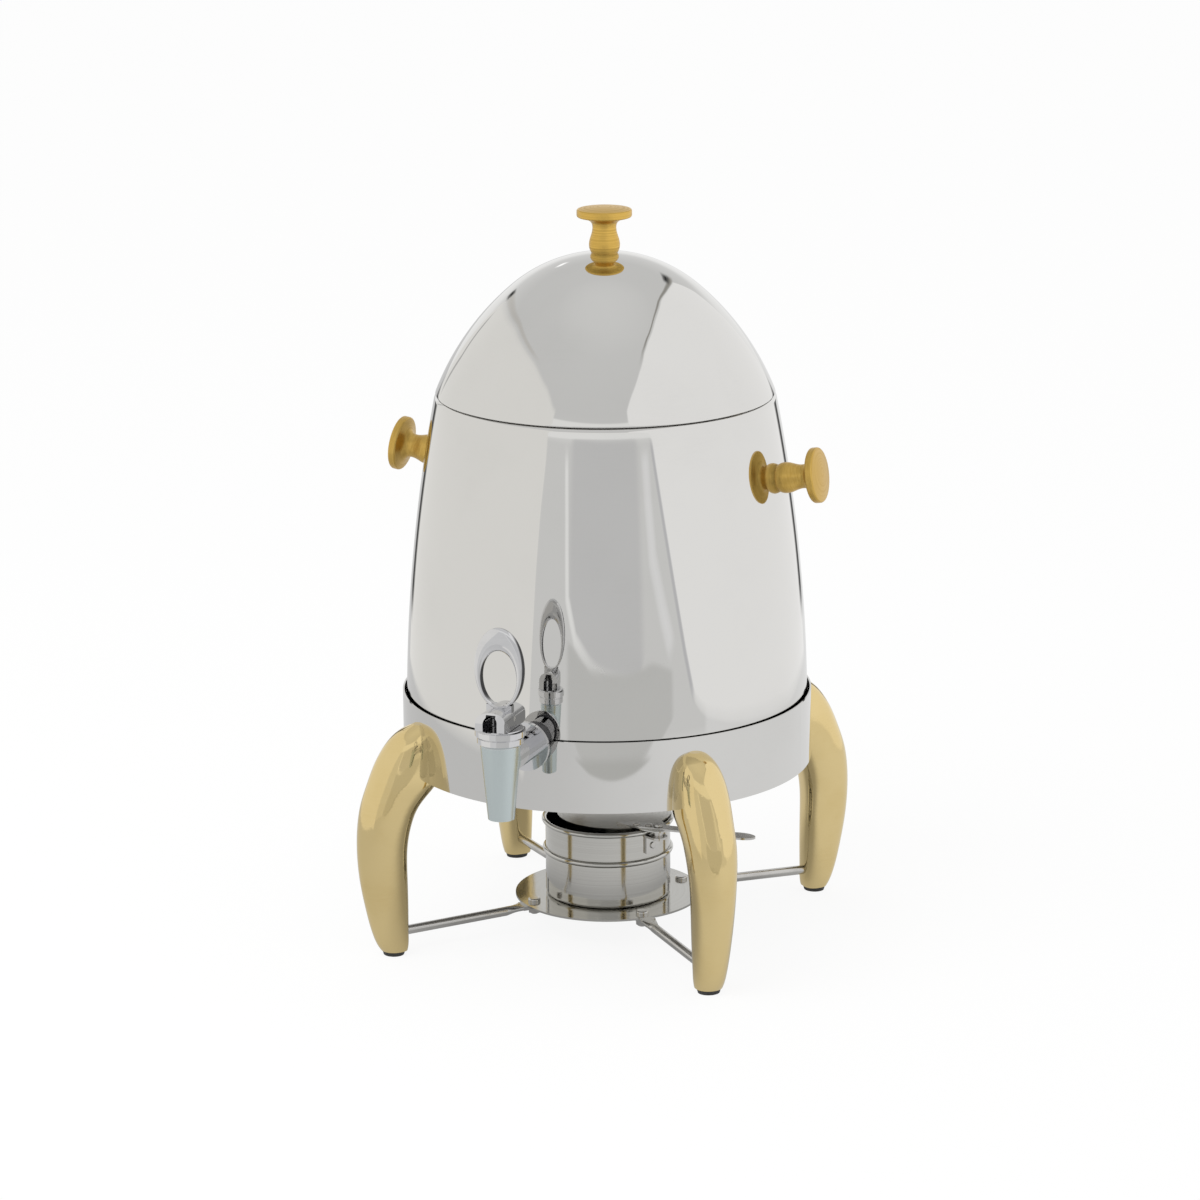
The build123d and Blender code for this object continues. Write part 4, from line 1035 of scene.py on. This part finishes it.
# %% [markdown]
# ## The open front of the tent
#
# Between the panes the tent is open, and what stands there is greyer: a wide gap, a valance over it, a
# taller grey shape in the middle, a lower one at its foot and a darker patch that only the band sees.
# Two bright slits and a fold of cloth run along their edges.

# %% What stands in front
pane("front_gap", [(-44, 0.05, 0.484), (0, 0.05, 0.488), (52, 0.05, 0.484)], (0.755, 0.755, 0.75),
     behind=0.03)
pane("front_valance", [(-40, 0.50, 0.75), (30, 0.50, 0.75)], (0.95, 0.95, 0.94), behind=0.03)
pane("front_middle", [(-21.5, 0.27, 0.480), (-19.5, 0.235, 0.485), (-16, 0.206, 0.487),
                      (-8.4, 0.173, 0.488), (-1, 0.158, 0.488), (8, 0.150, 0.488), (16, 0.150, 0.486),
                      (20, 0.18, 0.480)], (0.665, 0.665, 0.67), behind=0.02, side_fade=4.0)
pane("front_low", [(-21, 0.06, 0.21), (-17, 0.043, 0.20), (-13.4, 0.026, 0.185), (-8, 0.015, 0.172),
                   (2, 0.010, 0.165), (12, 0.015, 0.165), (18, 0.025, 0.17), (23, 0.042, 0.175),
                   (34, 0.09, 0.16)], (0.635, 0.635, 0.625), behind=0.01, side_fade=2.5, edge_fade=0.008)
pane("front_patch", [(-17, 0.033, 0.037), (-13.4, 0.026, 0.038), (-8, 0.017, 0.038), (2, 0.012, 0.038),
                     (12, 0.017, 0.038), (18, 0.025, 0.038), (22, 0.032, 0.037)], (0.555, 0.555, 0.54),
     behind=-0.005, side_fade=2.0, edge_fade=0.004)
seam_strip("front_slit", [(-22.7, 0.47), (-21.2, 0.366), (-20.2, 0.26), (-16, 0.206), (-8.4, 0.173),
                          (-1.1, 0.156)], 2.6, (1.0, 1.0, 0.995), solid=0.9, tail=22)
seam_strip("right_fold", [(22.2, 0.47), (22.8, 0.394), (24.2, 0.311), (28.5, 0.242), (33.5, 0.175)],
           5.5, (0.90, 0.90, 0.91), solid=0.9)
seam_strip("right_hem", [(26.0, 0.475), (27.8, 0.429), (31.4, 0.346), (35.2, 0.264), (39.5, 0.181),
                         (44.5, 0.108)], 2.0, (0.60, 0.60, 0.62), behind=-0.01)
print("front cards hang between", -44, "and", 52, "degrees")

# %% [markdown]
# ## Dark seams and corners
#
# Where one cloth ends and the next begins there is a dark seam. Two of them, far round the sides, draw
# the black lines just inside the urn's silhouette. The seams along the tops of the panes, with a dark
# knot at each far corner, draw the edges of the wedge in the lid. A small lamp glints between them.

# %% Seams, corners and the glint
SEAM_BLACK = (0.02, 0.02, 0.02)
for side, name in ((-1, "left"), (1, "right")):
    seam_strip(name + "_dark_seam", [(side * 145.2, 0.105), (side * 145.2, 0.20), (side * 144.5, 0.33),
                                     (side * 143, 0.40)], 10.0, SEAM_BLACK, behind=-0.02)
seam_strip("lid_seam", [(-140, 0.40), (-137.5, 0.513), (-142.8, 0.645)], 3.0, (0.35, 0.35, 0.35),
           behind=-0.02, solid=0.8)
seam_strip("right_top_seam", along_top(RIGHT_PANE, 31, 146) + [(154, 0.80)], 4.0, (0.20, 0.185, 0.15),
           behind=-0.02, solid=0.75, tail=6, head=100)
seam_strip("right_top_corner", [(141, 1.00), (155, 0.82)], 5.5, SEAM_BLACK, behind=-0.03)
seam_strip("left_top_seam", along_top(LEFT_PANE, -146, -60), 4.0, (0.50, 0.46, 0.40), behind=-0.02,
           solid=0.4, tail=90)
seam_strip("left_top_corner", [(-143, 0.70), (-151, 0.635)], 4.0, SEAM_BLACK, behind=-0.03)
seam_strip("lamp_glint", [(-167.5, 0.775), (-160.5, 0.815)], 4.0, (1.5, 1.5, 1.5), behind=-0.03)
cards = [thing.name for thing in bpy.data.objects if "cover" in getattr(thing.data, "attributes", {})]
print(len(cards), "cards hang in the studio")

# %% [markdown]
# ## Floor, world and lamp
#
# The floor runs to the horizon, pale and plain. The camera sees it lifted nearly to white, with the
# object's shadow kept. To a mirror it is a touch grey, with painted shade: greyer on the left, and a
# painted shadow darkest under the urn. The world is white to the camera, and a soft even grey overhead to
# everything else, which is what the crown of the lid reflects.

# %% Floor
FLOOR_HALF = 14.0
LIFT_TO_WHITE = 0.9


def pale_floor():
    mesh = bpy.data.meshes.new("floor")
    corners = [(-1, -1), (1, -1), (1, 1), (-1, 1)]
    mesh.from_pydata([(x * FLOOR_HALF, y * FLOOR_HALF, 0) for x, y in corners], [], [(0, 1, 2, 3)])
    floor = bpy.data.objects.new("floor", mesh)
    bpy.context.scene.collection.objects.link(floor)
    material = bpy.data.materials.new("floor_white")
    material.use_nodes = True
    tree = material.node_tree
    tree.nodes.clear()
    matt = add_node(tree, "ShaderNodeBsdfDiffuse", Color=(0.94, 0.94, 0.935, 1))
    glow = add_node(tree, "ShaderNodeEmission", Strength=1.0)
    tone = add_node(tree, "ShaderNodeMix", data_type="RGBA")
    tone.inputs[6].default_value = (1, 1, 1, 1)
    place_in_room = add_node(tree, "ShaderNodeTexCoord")
    under = add_node(tree, "ShaderNodeVectorMath", operation="DISTANCE")
    under.inputs[1].default_value = urn_axis
    # Painted shadow under the urn, seen only by mirrors.
    painted_shadow_under_urn = soft_step(tree, 0.10, 0.22, 0.50, 1.0)
    sideways = add_node(tree, "ShaderNodeVectorMath", operation="DOT_PRODUCT")
    sideways.inputs[1].default_value = camera_right
    # Painted shade, greyer to the left, seen only by mirrors.
    painted_left_shade = soft_step(tree, -0.45, 0.55, 0.63, 0.84)
    level = add_node(tree, "ShaderNodeMath", operation="MULTIPLY")
    join(tree, place_in_room.outputs["Object"], under.inputs[0])
    join(tree, under.outputs["Value"], painted_shadow_under_urn.inputs["Value"])
    join(tree, place_in_room.outputs["Object"], sideways.inputs[0])
    join(tree, sideways.outputs["Value"], painted_left_shade.inputs["Value"])
    join(tree, painted_shadow_under_urn.outputs["Result"], level.inputs[0])
    join(tree, painted_left_shade.outputs["Result"], level.inputs[1])
    join(tree, level.outputs[0], tone.inputs[7])
    path = add_node(tree, "ShaderNodeLightPath")
    seen = add_node(tree, "ShaderNodeMath", operation="MAXIMUM")
    share = add_node(tree, "ShaderNodeMath", operation="MULTIPLY")
    share.inputs[1].default_value = LIFT_TO_WHITE
    mix = tree.nodes.new("ShaderNodeMixShader")
    out = tree.nodes.new("ShaderNodeOutputMaterial")
    join(tree, path.outputs["Is Glossy Ray"], tone.inputs[0])
    join(tree, tone.outputs[2], glow.inputs["Color"])
    join(tree, path.outputs["Is Camera Ray"], seen.inputs[0])
    join(tree, path.outputs["Is Glossy Ray"], seen.inputs[1])
    join(tree, seen.outputs[0], share.inputs[0])
    join(tree, share.outputs[0], mix.inputs[0])
    join(tree, matt.outputs[0], mix.inputs[1])
    join(tree, glow.outputs[0], mix.inputs[2])
    join(tree, mix.outputs[0], out.inputs["Surface"])
    floor.data.materials.append(material)
    return floor


pale_floor()
print("floor", FLOOR_HALF * 2, "m square")

# %% World
def studio_world():
    world = bpy.data.worlds.new("studio")
    bpy.context.scene.world = world
    world.use_nodes = True
    tree = world.node_tree
    tree.nodes.clear()
    path = add_node(tree, "ShaderNodeLightPath")
    direction = add_node(tree, "ShaderNodeTexCoord")
    split = add_node(tree, "ShaderNodeSeparateXYZ")
    ramp = add_node(tree, "ShaderNodeValToRGB")
    stops = ramp.color_ramp.elements
    stops[0].position, stops[0].color = 0.0, (0.96, 0.96, 0.955, 1)
    stops[1].position, stops[1].color = 1.0, (0.79, 0.79, 0.785, 1)
    for height, tone in ((0.18, 0.96), (0.30, 0.78), (0.58, 0.71), (0.88, 0.73)):
        stops.new(height).color = (tone, tone, tone * 0.995, 1)
    seen = add_node(tree, "ShaderNodeMix", data_type="RGBA")
    seen.inputs[7].default_value = (1, 1, 1, 1)
    room = add_node(tree, "ShaderNodeMix", data_type="RGBA")
    room.inputs[6].default_value = (0.86, 0.86, 0.86, 1)
    sky = tree.nodes.new("ShaderNodeBackground")
    out = tree.nodes.new("ShaderNodeOutputWorld")
    join(tree, direction.outputs["Generated"], split.inputs[0])
    join(tree, split.outputs["Z"], ramp.inputs["Fac"])
    join(tree, path.outputs["Is Glossy Ray"], room.inputs[0])
    join(tree, ramp.outputs["Color"], room.inputs[7])
    join(tree, path.outputs["Is Camera Ray"], seen.inputs[0])
    join(tree, room.outputs[2], seen.inputs[6])
    join(tree, seen.outputs[2], sky.inputs["Color"])
    join(tree, sky.outputs[0], out.inputs["Surface"])


studio_world()
print("world", bpy.context.scene.world.name)

# %% One large soft lamp
lamp_data = bpy.data.lights.new("soft_lamp", "AREA")
lamp_data.shape = "RECTANGLE"
lamp_data.size, lamp_data.size_y = 1.6, 1.2
lamp_data.energy = 18
lamp = bpy.data.objects.new("soft_lamp", lamp_data)
bpy.context.scene.collection.objects.link(lamp)
lamp.location = urn_axis + toward_camera * 0.9 - camera_right * 1.1 + Vector((0, 0, 1.9))
lamp.rotation_mode = "QUATERNION"
lamp.rotation_quaternion = (lamp.location - urn_axis - Vector((0, 0, 0.25))).to_track_quat("Z", "Y")
lamp.visible_glossy = False
print("lamp at", [round(v, 2) for v in lamp.location])
